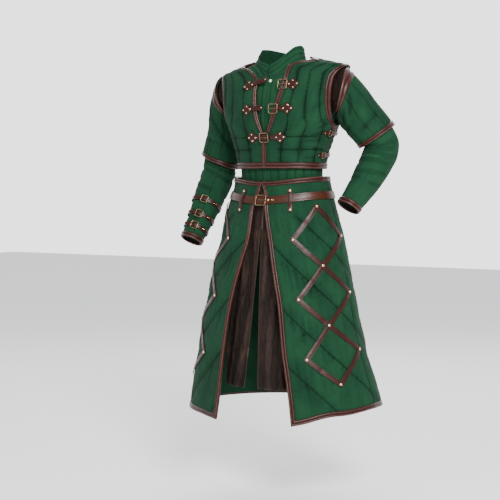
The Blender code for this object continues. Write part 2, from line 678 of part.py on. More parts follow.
def make_arm(side_name, side):
    """The jacket's sleeve and cuff, the leather gusset at the armhole, and the half sleeve."""
    last = len(ARMS[side_name]) - 1
    cuff = station_before(side_name, last, CUFF_BINDING)
    head = 0.40
    stations = [0, head] + list(range(1, last)) + [cuff, last]
    face = [armhole_mouth(side_name, side, SLEEVE_UNDER, SLEEVE_INWARDS)]
    lining = [armhole_mouth(side_name, side, SLEEVE_UNDER, SLEEVE_INWARDS + JACKET_WALL)]
    for station in stations:
        face.append(arm_ring(side_name, station, 0.0))
        lining.append(arm_ring(side_name, station, -JACKET_WALL))
    tube("jacket_sleeve_" + side_name, eased(face), eased(lining), CLOTH)
    tube("cuff_binding_" + side_name,
         [arm_ring(side_name, station, GAP + LEATHER) for station in (cuff, last)],
         [arm_ring(side_name, station, GAP) for station in (cuff, last)], BOUND)

    gusset_out = [armhole_mouth(side_name, side, GUSSET_UNDER, GAP)]
    gusset_in = [armhole_mouth(side_name, side, GUSSET_UNDER, GAP + GUSSET_WALL)]
    for station in (0, head):
        gusset_out.append(arm_ring(side_name, station, GUSSET_GAP + GUSSET_WALL))
        gusset_in.append(arm_ring(side_name, station, GUSSET_GAP))
    tube("shoulder_gusset_" + side_name, eased(gusset_out), eased(gusset_in), BOUND)

    hem = station_before(side_name, HALF_SLEEVE_END, 0.016)
    stations = [0, head, 1, 2, 3, hem, HALF_SLEEVE_END]
    lifts = [half_lift(side_name, s) for s in stations]
    tube("half_sleeve_" + side_name,
         [arm_ring(side_name, s, lift) for s, lift in zip(stations, lifts)],
         [arm_ring(side_name, s, lift - HALF_SLEEVE_WALL) for s, lift in zip(stations, lifts)], CLOTH)
    for name, pair in (("half_sleeve_top_binding_", (0, 1)), ("half_sleeve_hem_binding_", (-2, -1))):
        tube(name + side_name,
             [arm_ring(side_name, stations[k], lifts[k] + GAP + LEATHER) for k in pair],
             [arm_ring(side_name, stations[k], lifts[k] + GAP) for k in pair], BOUND)


for side_name, side in SIDES:
    make_arm(side_name, side)


# Forearm straps, on the right arm only: closed leather rings, each with a small buckle.
ForearmStrap = namedtuple("ForearmStrap", "station width")
FOREARM_STRAPS = [ForearmStrap(8.20, 0.016), ForearmStrap(9.25, 0.016), ForearmStrap(10.15, 0.015)]
BUCKLE_SIDE = Vector((0.30, -0.95, 0)).normalized()     # the way the forearm buckles face

for number, band in enumerate(FOREARM_STRAPS, 1):
    centre, along, _, _, (radius, *_) = arm_at("right", band.station)
    half = band.width / 2 / 0.050
    pair = (band.station - half, band.station + half)
    lift = 0.0008
    tube(f"forearm_strap_{number}",
         [arm_ring("right", station, lift + LEATHER) for station in pair],
         [arm_ring("right", station, lift) for station in pair], BOUND)
    facing_out = (BUCKLE_SIDE - along * BUCKLE_SIDE.dot(along)).normalized()
    across = facing_out.cross(along).normalized()
    middle = centre + facing_out * (radius + lift + LEATHER + 0.0026)
    rod_frame(f"forearm_buckle_{number}", middle, across, along, 0.028, 0.030, 0.0026, BRONZE)


# ---------------------------------------------------------------------------------------------
# Collar and neck button
# ---------------------------------------------------------------------------------------------

CollarTop = namedtuple("CollarTop", "turn left right")
COLLAR_TOP = [CollarTop(0, 0.050, 0.052), CollarTop(15, 0.060, 0.060), CollarTop(30, 0.080, 0.067),
              CollarTop(47, 0.100, 0.074), CollarTop(60, 0.114, 0.083), CollarTop(75, 0.124, 0.100),
              CollarTop(93, 0.121, 0.119), CollarTop(120, 0.105, 0.117), CollarTop(180, 0.100, 0.100)]


COLLAR_LIFT = 0.0010    # from the jacket's neck edge, up and inwards


def collar_top(turn):
    """Height of the collar's upper edge: a notch at the front, high at the sides and back."""
    away = (turn + 180) % 360 - 180
    column = "left" if away > 0 else "right"
    for low, high in zip(COLLAR_TOP, COLLAR_TOP[1:]):
        if abs(away) <= high.turn:
            share = (abs(away) - low.turn) / (high.turn - low.turn)
            return mix(getattr(low, column), getattr(high, column), share)
    return COLLAR_TOP[-1].left


def collar():
    """A standing collar on the jacket's neck edge, open at the front."""
    first = len(JACKET_FRONT) - 1 - NECK_STEPS
    last = len(JACKET_FRONT) - 1
    neck = [(jacket["left"][i][0], SEAM_FRONT) for i in range(first, last + 1)]
    neck += [(jacket["back"][last][j], SEAM_BACK) for j in range(3, JACKET_BACK_COLUMNS - 2)]
    neck += [(jacket["right"][i][0], SEAM_FRONT) for i in range(last, first - 1, -1)]
    outer, inner = [], []
    for share in (0.0, 0.25, 0.6, 1.0):
        rows = ([], [])
        for spot, shift in neck:
            base = [moved(VEST_FORM, spot, out, shift) for out in (UNDER_VEST, UNDER_VEST - COLLAR_WALL)]
            base = [point + Vector((-point.x, -point.y, 0.10)).normalized() * COLLAR_LIFT for point in base]
            height = mix(spot[0], collar_top(spot[1]), share)
            turn = spot[1]
            tops = [moved(COLLAR_FORM, (height, turn), out) for out in (0.0, -COLLAR_WALL)]
            ease = min(share * 2.5, 1.0)
            for row, low, high in zip(rows, base, tops):
                row.append(low.lerp(high, ease) if share else low)
        outer.append(rows[0])
        inner.append(rows[1])
    grid_wall("collar", outer, inner, CLOTH)


def disc(name, centre, out, radius, thickness, finish, sides=12):
    """A flat round button."""
    right = out.orthogonal().normalized()
    up = out.cross(right)
    rings = []
    for level, size in ((0, 0.8), (0.35, 1.0), (0.75, 1.0), (1.0, 0.75)):
        rings.append([centre + out * thickness * level
                      + (right * math.cos(2 * math.pi * k / sides) + up * math.sin(2 * math.pi * k / sides))
                      * radius * size for k in range(sides)])
    faces = [tuple(reversed(range(sides))), tuple(range(3 * sides, 4 * sides))]
    for i in range(3):
        for k in range(sides):
            a, b = i * sides + k, i * sides + (k + 1) % sides
            faces.append((a, b, b + sides, a + sides))
    solid(name, sum(rings, []), faces, finish)


collar()
BUTTON = (-0.004, 5.0)
disc("neck_button", moved(VEST_FORM, BUTTON, UNDER_VEST + 0.0010), facing(VEST_FORM, *BUTTON),
     0.0055, 0.0028, PEARL)


# ---------------------------------------------------------------------------------------------
# Vest closures: strap on the right front, buckle and tab on the left front
# ---------------------------------------------------------------------------------------------

Closure = namedtuple("Closure", "height strap_from strap_to strap_drop buckle tab_from tab_to")
CLOSURES = [
    Closure(-0.026, -36.5, 4.5, -0.022, 29.0, 35.0, 48.0),
    Closure(-0.108, -32.5, 1.5, -0.006, 17.5, 25.0, 42.0),
    Closure(-0.206, -26.5, 9.5, 0.000, 2.5, 12.5, 34.0),
]
# Half width of the scalloped end, by distance from its tip.
SCALLOP = [(0.000, 0.0015), (0.005, 0.0065), (0.010, 0.0095), (0.015, 0.0165), (0.021, 0.0180),
           (0.027, 0.0150), (0.032, 0.0080)]
STRAP_HALF = 0.0065
STRAP_LIFT = LEATHER + 2.4 * GAP       # clear of the front bindings that it crosses


def ribbon(name, form, path, widths, lift, finish, thickness=LEATHER):
    """A strap along a path of spots, at a height above the form."""
    stations = []
    for spot, half in zip(path, widths):
        out = facing(form, *spot)
        stations.append((surface(form, *spot) + out * lift, out, half))
    return strap(name, stations, thickness, finish)


def scalloped(height, start, end, drop, blunt_tip):
    """Path and widths of a strap with a scalloped end at start, run level to end."""
    reach = surface(VEST_FORM, height, (start + end) / 2).to_2d().length
    degree = math.radians(1) * reach
    way = 1 if end > start else -1
    length = abs(end - start) * degree
    distances = [d for d, _ in SCALLOP if d < length - 0.004]
    widths = [w for d, w in SCALLOP if d < length - 0.004]
    while distances[-1] + 0.012 < length:
        distances.append(distances[-1] + 0.009)
        widths.append(STRAP_HALF)
    distances.append(length)
    widths.append(STRAP_HALF * (0.35 if blunt_tip else 1.0))
    path = [(height - drop * d / length, start + way * d / degree) for d in distances]
    return path, widths


for number, closure in enumerate(CLOSURES, 1):
    path, widths = scalloped(closure.height, closure.strap_from, closure.strap_to, closure.strap_drop, True)
    ribbon(f"closure_strap_{number}", VEST_FORM, path, widths, STRAP_LIFT, BOUND)
    path, widths = scalloped(closure.height, closure.tab_to, closure.tab_from, 0.0, False)
    ribbon(f"closure_tab_{number}", VEST_FORM, path, widths, STRAP_LIFT, BOUND)
    spot = (closure.height, closure.buckle)
    out = facing(VEST_FORM, *spot)
    across = Vector((0, 0, 1)).cross(out).normalized()
    middle = surface(VEST_FORM, *spot) + out * (STRAP_LIFT + LEATHER + 0.0034)
    rod_frame(f"closure_buckle_{number}", middle, -across, out.cross(-across).normalized(),
              0.037, 0.036, 0.0030, BRONZE)


# Side straps below each armhole, across the side seam.
SideStrap = namedtuple("SideStrap", "name height start end")
SIDE_STRAP_LIFT = 0.0018
SIDE_STRAPS = [SideStrap("upper", -0.192, 74, 112), SideStrap("lower", -0.268, 76, 112)]
for side_name, side in SIDES:
    for band in SIDE_STRAPS:
        count = 9
        path = [(band.height, mix(band.start, band.end, k / (count - 1)) * side) for k in range(count)]
        widths = [0.004] + [STRAP_HALF] * (count - 2) + [0.004]
        ribbon(f"side_strap_{band.name}_{side_name}", VEST_FORM, path, widths, SIDE_STRAP_LIFT, BOUND)


# ---------------------------------------------------------------------------------------------
# Skirt: two open fronts and a back, bound in leather, with a riveted lattice on each front
# ---------------------------------------------------------------------------------------------

def skirt_front(side_name, side):
    """Spots of a skirt front, from its free front edge to the side seam."""
    rows = [(height, smooth(SKIRT_EDGES, height, side_name) * side) for height in SKIRT_LEVELS]
    inner = [Edge(height, turn * side, SKIRT_BINDING) for height, turn in rows]
    outer = [Edge(height, 90, 0.030) for height in SKIRT_LEVELS]
    return front_spots(inner, outer, 10, side, skirt_drop)


SKIRT_BACK_COLUMNS = 16
skirt = {side_name: skirt_front(side_name, side) for side_name, side in SIDES}
skirt["back"] = []
for height in SKIRT_LEVELS:
    turns = [mix(90, 270, j / SKIRT_BACK_COLUMNS) for j in range(SKIRT_BACK_COLUMNS + 1)]
    skirt["back"].append([(height - skirt_drop(height, turn), turn) for turn in turns])
TOP_ROW = len(SKIRT_LEVELS) - 2
for side_name, _ in SIDES:
    panel("skirt_front_" + side_name, skirt[side_name], 0.0, SKIRT_WALL, SEAM_FRONT, CLOTH, SKIRT_FORM)
    cover("skirt_binding_" + side_name, skirt[side_name], SEAM_FRONT,
          lambda i, j: j == 0 or i in (0, TOP_ROW), SKIRT_FORM)
panel("skirt_back", skirt["back"], 0.0, SKIRT_WALL, SEAM_BACK, CLOTH, SKIRT_FORM)
cover("skirt_binding_hem_back", skirt["back"], SEAM_BACK, lambda i, j: i == 0, SKIRT_FORM)
cover("skirt_binding_top_back", skirt["back"], SEAM_BACK, lambda i, j: i == TOP_ROW, SKIRT_FORM)

LatticeRow = namedtuple("LatticeRow", "height turn")
# Corners of three diamonds, stacked: the middle line, the front corners and the side corners.
LATTICE_MIDDLE = [LatticeRow(-0.450, 68.5), LatticeRow(-0.656, 67.3), LatticeRow(-0.862, 66.8),
                  LatticeRow(-1.064, 68.0)]
LATTICE_FRONT = [LatticeRow(-0.566, 42.0), LatticeRow(-0.772, 44.8), LatticeRow(-0.978, 48.0)]
LATTICE_SIDE = [LatticeRow(-0.555, 92.0), LatticeRow(-0.752, 89.5), LatticeRow(-0.952, 88.5)]
LATTICE_HALF = 0.0090
LATTICE_LIFT = 0.0020
FLAT_DEGREE = 0.00475   # metres round the skirt for a degree of turn, at the lattice


def flat(row):
    return Vector((row.turn * FLAT_DEGREE, row.height))


def line_meet(p, d, q, e):
    """Where two lines, each a point and a direction, cross."""
    cross = d.x * e.y - d.y * e.x
    t = ((q.x - p.x) * e.y - (q.y - p.y) * e.x) / cross
    return p + d * t


def lattice(name, side, steps=5):
    """A net of straps joined at their rivets, as one flat leather piece laid on the skirt."""
    joints = [flat(row) for row in LATTICE_MIDDLE + LATTICE_FRONT + LATTICE_SIDE]
    middle, front, side_row = range(0, 4), range(4, 7), range(7, 10)
    straps = []
    for k in range(3):
        straps += [(middle[k], front[k]), (front[k], middle[k + 1]),
                   (middle[k], side_row[k]), (side_row[k], middle[k + 1])]
    points, faces, corner = [], [], {}
    for joint, centre in enumerate(joints):
        arms = [b if a == joint else a for a, b in straps if joint in (a, b)]
        arms.sort(key=lambda other: math.atan2(joints[other].y - centre.y, joints[other].x - centre.x))
        ring = []
        for this, following in zip(arms, arms[1:] + arms[:1]):
            d = (joints[this] - centre).normalized()
            e = (joints[following] - centre).normalized()
            left = Vector((-d.y, d.x)) * LATTICE_HALF
            right = Vector((e.y, -e.x)) * LATTICE_HALF
            ring.append(len(points))
            corner[joint, this, "left"] = corner[joint, following, "right"] = len(points)
            points.append(line_meet(centre + left, d, centre + right, e))
        if len(ring) == 4:
            faces += [(ring[0], ring[1], ring[2]), (ring[0], ring[2], ring[3])]
    for a, b in straps:
        start = (corner[a, b, "right"], corner[a, b, "left"])
        end = (corner[b, a, "left"], corner[b, a, "right"])
        rows = [start]
        for k in range(1, steps):
            row = []
            for p, q in zip(start, end):
                row.append(len(points))
                points.append(points[p].lerp(points[q], k / steps))
            rows.append(tuple(row))
        rows.append(end)
        for (p, q), (r, s) in zip(rows, rows[1:]):
            faces += [(p, r, s), (p, s, q)]
    spots = [(point.y, point.x / FLAT_DEGREE * side) for point in points]
    outer = [moved(SKIRT_FORM, spot, LATTICE_LIFT + LEATHER, SEAM_FRONT) for spot in spots]
    inner = [moved(SKIRT_FORM, spot, LATTICE_LIFT, SEAM_FRONT) for spot in spots]
    slab(name, outer, inner, faces, BOUND)


for side_name, side in SIDES:
    lattice("lattice_" + side_name, side)


# Soft leather tails inside the skirt, split at centre front.
TAIL_LEVELS = (-1.095, -1.000, -0.900, -0.800, -0.700, -0.600, -0.500, -0.430, -0.360)
TailEdge = namedtuple("TailEdge", "height left right")
TAIL_EDGES = [TailEdge(-0.360, 0.3, 0.3), TailEdge(-0.500, 0.3, 0.5), TailEdge(-0.560, 0.4, 1.5),
              TailEdge(-0.700, 0.8, 5.0), TailEdge(-0.900, 1.4, 11.0), TailEdge(-1.095, 2.0, 17.5)]
TAIL_SIDE = 54          # turn of the tails' outer edges
for side_name, side in SIDES:
    spots = []
    for height in TAIL_LEVELS:
        start = smooth(TAIL_EDGES, height, side_name)
        spots.append([(height, mix(start, TAIL_SIDE, k / 10) * side) for k in range(11)])
    panel("tail_" + side_name, spots, 0.0, TAIL_WALL, SEAM_FRONT, SUEDE, TAIL_FORM)


# ---------------------------------------------------------------------------------------------
# Belt, buckle and loops
# ---------------------------------------------------------------------------------------------

BELT_HEIGHT = 0.028
BELT_WALL = 0.0030
BELT_LIFT = 0.0030
BELT_AROUND = 48


def belt_level(turn):
    """Height of the belt's middle: lowest at centre front."""
    return -0.410 - 0.020 * max(math.cos(math.radians(turn)), 0.0) ** 2


def belt_point(turn, rise, out):
    return moved(SKIRT_FORM, (belt_level(turn) + rise, turn), out)


belt_rows = []
for out in (BELT_LIFT + BELT_WALL, BELT_LIFT):
    belt_rows.append([[belt_point(360 * k / BELT_AROUND, rise, out) for k in range(BELT_AROUND)]
                      for rise in (-BELT_HEIGHT / 2, BELT_HEIGHT / 2)])
grid_wall("belt", belt_rows[0], belt_rows[1], BELT_HIDE, ring=True)

BUCKLE_TURN = 1.0
buckle_out = facing(SKIRT_FORM, belt_level(BUCKLE_TURN), BUCKLE_TURN)
buckle_across = Vector((0, 0, 1)).cross(buckle_out).normalized()
rod_frame("belt_buckle", belt_point(BUCKLE_TURN, 0.0, BELT_LIFT + BELT_WALL + 0.0030), -buckle_across,
          buckle_out.cross(-buckle_across).normalized(), 0.044, 0.040, 0.0035, BRONZE)

LoopShape = namedtuple("LoopShape", "rise out")
LOOP_SHAPE = [LoopShape(-0.048, 0.0014), LoopShape(-0.034, 0.0015), LoopShape(-0.0175, 0.0066),
              LoopShape(0.0175, 0.0066), LoopShape(0.025, 0.0030), LoopShape(0.034, 0.0030)]
BELT_LOOPS = {"belt_loop_left": 40.5, "belt_loop_right": -32.5}
for name, turn in BELT_LOOPS.items():
    stations = []
    for shape in LOOP_SHAPE:
        spot = (belt_level(turn) + shape.rise, turn)
        out = facing(SKIRT_FORM, *spot)
        stations.append((surface(SKIRT_FORM, *spot) + out * shape.out, out, 0.009))
    strap(name, stations, LEATHER, BOUND)
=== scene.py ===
import math
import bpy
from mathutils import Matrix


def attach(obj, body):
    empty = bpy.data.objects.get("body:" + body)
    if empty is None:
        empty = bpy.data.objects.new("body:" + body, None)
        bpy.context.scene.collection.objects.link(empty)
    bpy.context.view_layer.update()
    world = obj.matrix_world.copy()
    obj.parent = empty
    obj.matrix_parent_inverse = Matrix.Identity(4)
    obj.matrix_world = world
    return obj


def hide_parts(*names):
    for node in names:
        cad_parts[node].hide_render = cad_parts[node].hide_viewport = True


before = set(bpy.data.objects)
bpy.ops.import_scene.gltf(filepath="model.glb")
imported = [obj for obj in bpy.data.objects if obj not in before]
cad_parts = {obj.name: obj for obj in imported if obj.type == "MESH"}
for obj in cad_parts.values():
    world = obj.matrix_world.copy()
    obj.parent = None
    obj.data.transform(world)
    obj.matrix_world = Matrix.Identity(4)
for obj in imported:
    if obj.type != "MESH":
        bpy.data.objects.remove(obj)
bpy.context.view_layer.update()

from types import SimpleNamespace

import bpy
import numpy as np
from mathutils import Vector

# ---------------------------------------------------------------------------------------------
# The studio: a pale floor at the wearer's feet, a pale room and three soft lamps. The origin of
# everything is the middle of the shoulder line, 1.5 m above the floor; the garment faces -Y and
# the wearer's left is at +X.
# ---------------------------------------------------------------------------------------------
FLOOR = -1.5
FLOOR_HALF = 12
BACKDROP_WAY = (-0.53, 0.85, 0.0)       # from the garment to the white backdrop behind it
CAMERA_AT = (2.5512, -4.3017, -0.350)
CAMERA_AIM = (-0.0984, -0.0615, -0.611)
LENS = 99.17            # mm, on a 36 mm sensor
LAMPS = {               # place, aim, size in metres, watts
    "key_lamp": ((3.2, -3.4, 1.9), (0.0, 0.0, -0.45), 1.8, 470.0),
    "fill_lamp": ((-2.6, -4.2, 0.6), (0.0, 0.0, -0.6), 2.6, 12.0),
    "back_lamp": ((-1.6, 3.4, 1.9), (0.0, 0.0, -0.5), 2.2, 90.0),
}


def linear(code):
    """An sRGB hex colour as linear light, with full alpha."""
    parts = [int(code[k:k + 2], 16) / 255 for k in (1, 3, 5)]
    return (*[c / 12.92 if c <= 0.04045 else ((c + 0.055) / 1.055) ** 2.4 for c in parts], 1.0)


def add(tree, kind, settings=None, inputs=None):
    """Adds one node with its settings; an input is a value, or an output socket to link from."""
    made = tree.nodes.new(kind)
    for name, value in (settings or {}).items():
        setattr(made, name, value)
    for name, value in (inputs or {}).items():
        if isinstance(value, bpy.types.NodeSocket):
            tree.links.new(value, made.inputs[name])
        else:
            made.inputs[name].default_value = value
    return made


def set_shader(tree, **values):
    """Sets inputs of a material's Principled shader to values, or links them from sockets."""
    inputs = tree.nodes["Principled BSDF"].inputs
    for key, value in values.items():
        socket = inputs[key.replace("_", " ").title().replace("Ior", "IOR")]
        if isinstance(value, bpy.types.NodeSocket):
            tree.links.new(value, socket)
        else:
            socket.default_value = value


def finish(name, **values):
    """A new material with its shader's own values, and its node tree."""
    made = bpy.data.materials.new(name)
    made.use_nodes = True
    set_shader(made.node_tree, **values)
    return made, made.node_tree


def aimed(made, place, aim):
    """Places a lamp or camera and turns it to look at a point."""
    made.location = place
    made.rotation_euler = Vector(np.subtract(aim, place)).to_track_quat("-Z", "Y").to_euler()
    bpy.context.scene.collection.objects.link(made)
    return made


def mesh_object(name, points, faces, material):
    """A smooth-shaded mesh object from points and faces."""
    mesh = bpy.data.meshes.new(name)
    mesh.from_pydata(np.asarray(points).tolist(), [], [list(map(int, face)) for face in faces])
    mesh.materials.append(material)
    mesh.shade_smooth()
    mesh.set_sharp_from_angle(angle=math.radians(50))
    made = bpy.data.objects.new(name, mesh)
    bpy.context.scene.collection.objects.link(made)
    return made


floor_paint, _ = finish("pale_floor_paint", base_color=linear("#fbfbfa"), roughness=0.9)
corners = [(x * FLOOR_HALF, y * FLOOR_HALF, FLOOR) for x, y in ((-1, -1), (1, -1), (1, 1), (-1, 1))]
ground = mesh_object("floor", corners, [(0, 1, 2, 3)], floor_paint)
for lamp_name, (place, aim, size, watts) in LAMPS.items():
    light = bpy.data.lights.new(lamp_name, "AREA")
    light.shape = "DISK"
    light.size = size
    light.energy = watts
    aimed(bpy.data.objects.new(lamp_name, light), place, aim)
room = bpy.data.worlds.new("pale_room")
bpy.context.scene.world = room
room.use_nodes = True
# The room is a white backdrop behind the garment and a dimmer studio in front of it.
backdrop = room.node_tree.nodes["Background"]
backdrop.inputs["Color"].default_value = (0.97, 0.98, 1.0, 1.0)
view = add(room.node_tree, "ShaderNodeTexCoord").outputs["Generated"]
behind = add(room.node_tree, "ShaderNodeVectorMath", {"operation": "DOT_PRODUCT"},
             {0: view, 1: BACKDROP_WAY})
glow = add(room.node_tree, "ShaderNodeMapRange", {"interpolation_type": "SMOOTHSTEP"},
           {"Value": behind.outputs["Value"], "From Min": -0.1, "From Max": 0.8, "To Min": 0.55,
            "To Max": 2.6})
room.node_tree.links.new(glow.outputs[0], backdrop.inputs["Strength"])
camera = bpy.data.cameras.new("camera")
camera.lens = LENS
camera.sensor_width = 36.0
bpy.context.scene.camera = aimed(bpy.data.objects.new("camera", camera), CAMERA_AT, CAMERA_AIM)

# ---------------------------------------------------------------------------------------------
# The under-jacket's body: two fronts and a back of green cotton canvas over thin wadding, sewn
# with upright channels. Each panel is cut, channelled and joined at the side and shoulder seams.
# ---------------------------------------------------------------------------------------------
# height, half width, front depth, back depth and sideways shift of the torso's cross-section
TORSO = [
    (-0.450, 0.174, 0.125, 0.132, 0.000), (-0.380, 0.165, 0.121, 0.120, 0.000),
    (-0.315, 0.166, 0.122, 0.118, 0.000), (-0.266, 0.174, 0.126, 0.122, 0.001),
    (-0.197, 0.197, 0.140, 0.132, 0.006), (-0.140, 0.219, 0.146, 0.140, 0.005),
    (-0.067, 0.234, 0.142, 0.142, 0.008), (0.000, 0.245, 0.125, 0.128, 0.010),
    (0.020, 0.251, 0.112, 0.116, 0.012), (0.035, 0.253, 0.100, 0.106, 0.012),
    (0.050, 0.204, 0.090, 0.098, 0.010), (0.065, 0.155, 0.082, 0.090, 0.006),
    (0.080, 0.103, 0.076, 0.084, 0.000), (0.095, 0.060, 0.070, 0.078, 0.000),
]
TORSO_SQUARENESS = 2.3
SHOULDER_LEAN = 0.040   # the left shoulder is raised by the hand on the hip
EDGE = 0.020            # width of the leather edge, which the outermost cells of a panel keep
JACKET_UNDER = -0.0135  # the jacket's face, measured in from the vest's
JACKET_WALL = 0.0030
# height and turn of a panel's edge, in degrees from centre front towards the wearer's left
JACKET_FRONT = [(height, 0.15) for height in (-0.450, -0.380, -0.315, -0.250, -0.200, -0.165, -0.130,
                                              -0.095, -0.055, -0.020)]
JACKET_FRONT += [(0.010, 1.5), (0.028, 20.0), (0.054, 39.0), (0.074, 60.0), (0.084, 90.0)]
JACKET_ARMHOLE = [(-0.132, 90.0), (-0.125, 85.0), (-0.110, 80.5), (-0.088, 77.8), (-0.060, 76.5),
                  (-0.032, 77.0), (-0.003, 79.2), (0.021, 83.5), (0.0375, 87.5), (0.0435, 90.0)]
JACKET_SIDE = [(height, 90.0) for height in (-0.450, -0.380, -0.315, -0.250, -0.190)] + JACKET_ARMHOLE
ARMHOLE_STEPS = 9
INNER_SHADE = 0.4       # of the plain inner sides
BACK_SCOOP = 10.0       # degrees that an armhole is cut further in at the back
SEAM = 0.00015          # half the gap along a seam
SIDES = (("left", 1), ("right", -1))


def eased_between(s, gap, values, slopes, low):
    """The smooth curve from row low to the next, a share s of the way."""
    return ((2 * s ** 3 - 3 * s ** 2 + 1) * values[low] + (s ** 3 - 2 * s ** 2 + s) * gap * slopes[low]
            + (3 * s ** 2 - 2 * s ** 3) * values[low + 1] + (s ** 3 - s ** 2) * gap * slopes[low + 1])


def smooth(table, height, column):
    """A table's value at any height, on a curve that never overshoots its rows."""
    rows = np.array(sorted(table), float)
    at, value = rows[:, 0], rows[:, column]
    slope = np.diff(value) / np.diff(at)
    bend = np.concatenate([slope[:1], np.zeros(len(at) - 2), slope[-1:]])
    product = slope[:-1] * slope[1:]
    same = product > 0
    bend[1:-1][same] = 2 * product[same] / (slope[:-1] + slope[1:])[same]
    height = np.clip(height, at[0], at[-1])
    low = np.clip(np.searchsorted(at, height, side="right") - 1, 0, len(at) - 2)
    step = at[low + 1] - at[low]
    s = (height - at[low]) / step
    return eased_between(s, step, value, bend, low)


def form_of(sections, square=2.0, folds=(), top=0, bottom=-1, lean=0.0):
    """A form to lay cloth on: its sections, and the folds that grow from its top to its bottom."""
    return SimpleNamespace(sections=sections, square=square, folds=folds, top=top, bottom=bottom, lean=lean)


def surface(form, height, turn):
    """Points of a form at heights and turns: torso, skirt, tails or collar."""
    angle = np.radians(turn)
    side = smooth(form.sections, height, 1)
    depth = np.where(np.cos(angle) >= 0, smooth(form.sections, height, 2), smooth(form.sections, height, 3))
    reach = (np.abs(np.sin(angle) / side) ** form.square
             + np.abs(np.cos(angle) / depth) ** form.square) ** (-1 / form.square)
    grown = np.clip((form.top - height) / (form.top - form.bottom), 0, 1)
    for fold_turn, width, out in form.folds:
        away = (turn - fold_turn + 180) % 360 - 180
        reach = reach + out * np.exp(-(away / width) ** 2) * grown
    x = reach * np.sin(angle) + smooth(form.sections, height, 4)
    lean = form.lean * x * np.clip((height + 0.25) / 0.25, 0, 1)
    return np.stack([x, -reach * np.cos(angle), height + lean], -1)


def unit(vectors):
    """Directions of length one."""
    return vectors / np.linalg.norm(vectors, axis=-1, keepdims=True)


def facing(form, height, turn):
    """Outward directions of a form's face."""
    across = surface(form, height, turn + 1.0) - surface(form, height, turn - 1.0)
    up = surface(form, height + 0.002, turn) - surface(form, height - 0.002, turn)
    return unit(np.cross(across, up))


def on(form, height, turn, lift):
    """Points at heights and turns, lifted off a form, and the outward directions there."""
    height, turn = np.broadcast_arrays(np.asarray(height, float), np.asarray(turn, float))
    out = facing(form, height, turn)
    return surface(form, height, turn) + out * np.asarray(lift, float)[..., None], out


def moved(form, height, turn, lift):
    """The points alone."""
    return on(form, height, turn, lift)[0]


def curve(values, knots, at, ring=False):
    """Values between a table's rows, on a smooth curve through them. A ring has one knot more."""
    values = np.asarray(values, float)
    if ring:
        values = np.concatenate([values[-1:], values, values[:2]])
        before, after = knots[0] - knots[-1] + knots[-2], knots[-1] + knots[1] - knots[0]
        knots = np.concatenate([[before], knots, [after]])
    shape = (-1,) + (1,) * (values.ndim - 1)
    gap = np.diff(knots).reshape(shape)
    slope = np.diff(values, axis=0) / gap
    inner = (slope[:-1] * gap[1:] + slope[1:] * gap[:-1]) / (gap[1:] + gap[:-1])
    bend = np.concatenate([slope[:1], inner, slope[-1:]])
    low = np.clip(np.searchsorted(knots, at, side="right") - 1, 0, len(knots) - 2)
    s = ((at - knots[low]) / (knots[low + 1] - knots[low])).reshape(shape)
    return eased_between(s, gap[low], values, bend, low)


def knots_of(points, axis, ring=False):
    """Mean distances along one axis of a grid of points, added up."""
    if ring:
        points = np.concatenate([points, points.take([0], axis)], axis)
    steps = np.linalg.norm(np.diff(points, axis=axis), axis=-1).mean(axis=1 - axis)
    return np.concatenate([[0.0], np.cumsum(np.maximum(steps, 1e-5))])


def spaced(knots, step):
    """Places about a step apart, in a number of cells that is a multiple of four."""
    return np.linspace(0, knots[-1], 4 * max(1, math.ceil(knots[-1] / step / 4)) + 1)


def measured(grid, ring=False):
    """Adds a grid's u and v, its lengths in metres along the rows and across them."""
    closed = np.concatenate([grid.face, grid.face[:, :1]], 1) if ring else grid.face
    along = np.linalg.norm(np.diff(closed, axis=1), axis=-1)
    grid.u = np.concatenate([np.zeros((len(along), 1)), np.cumsum(along, 1)], 1)
    grid.width = grid.u[:, -1:]
    grid.u = grid.u[:, :grid.face.shape[1]]
    up = np.linalg.norm(np.diff(grid.face, axis=0), axis=-1).mean(1)
    grid.v = np.concatenate([[0.0], np.cumsum(up)])[:, None] + 0 * grid.u
    grid.length = grid.v[-1, 0]
    grid.area = float((along[:-1].sum(1) + along[1:].sum(1)) @ up / 2)
    grid.ring = ring
    return grid


def body_panel(form, spots, lift, step, back=False):
    """A fine grid over a coarse one of (height, turn) spots, on a form; fronts and back stand apart."""
    spots = np.array(spots, float)
    control = moved(form, spots[..., 0], spots[..., 1], lift)
    rows, columns = knots_of(control, 0), knots_of(control, 1)
    fine = curve(spots, rows, spaced(rows, step))
    fine = curve(fine.swapaxes(0, 1), columns, spaced(columns, step)).swapaxes(0, 1)
    height, turn = fine[..., 0], fine[..., 1]
    face, out = on(form, height, turn, lift)
    face = face + (0.0, SEAM if back else -SEAM, 0.0)
    return measured(SimpleNamespace(height=height, turn=turn, out=out, face=face))


def point_grid(points, step, ring=False, side=1):
    """A fine grid through a coarse grid of points, with its outward directions."""
    points = np.array(points, float)
    rows, columns = knots_of(points, 0), knots_of(points, 1, ring)
    fine = curve(points, rows, spaced(rows, step))
    places = spaced(columns, step)
    places = places[:-1] if ring else places
    fine = curve(fine.swapaxes(0, 1), columns, places, ring).swapaxes(0, 1)
    if ring:
        wrapped = np.concatenate([fine[:, -1:], fine, fine[:, :1]], 1)
        across = np.gradient(wrapped, axis=1)[:, 1:-1]
    else:
        across = np.gradient(fine, axis=1)
    out = unit(np.cross(across, np.gradient(fine, axis=0))) * side
    return measured(SimpleNamespace(face=fine, out=out), ring)


def quads(rows, columns, first, ring):
    """The cells of a grid of points, as an array of four corners each."""
    j = np.arange(columns if ring else columns - 1)
    a = first + np.arange(rows - 1)[:, None] * columns + j
    b = first + np.arange(rows - 1)[:, None] * columns + (j + 1) % columns
    return np.stack([a, b, b + columns, a + columns], -1).reshape(-1, 4)


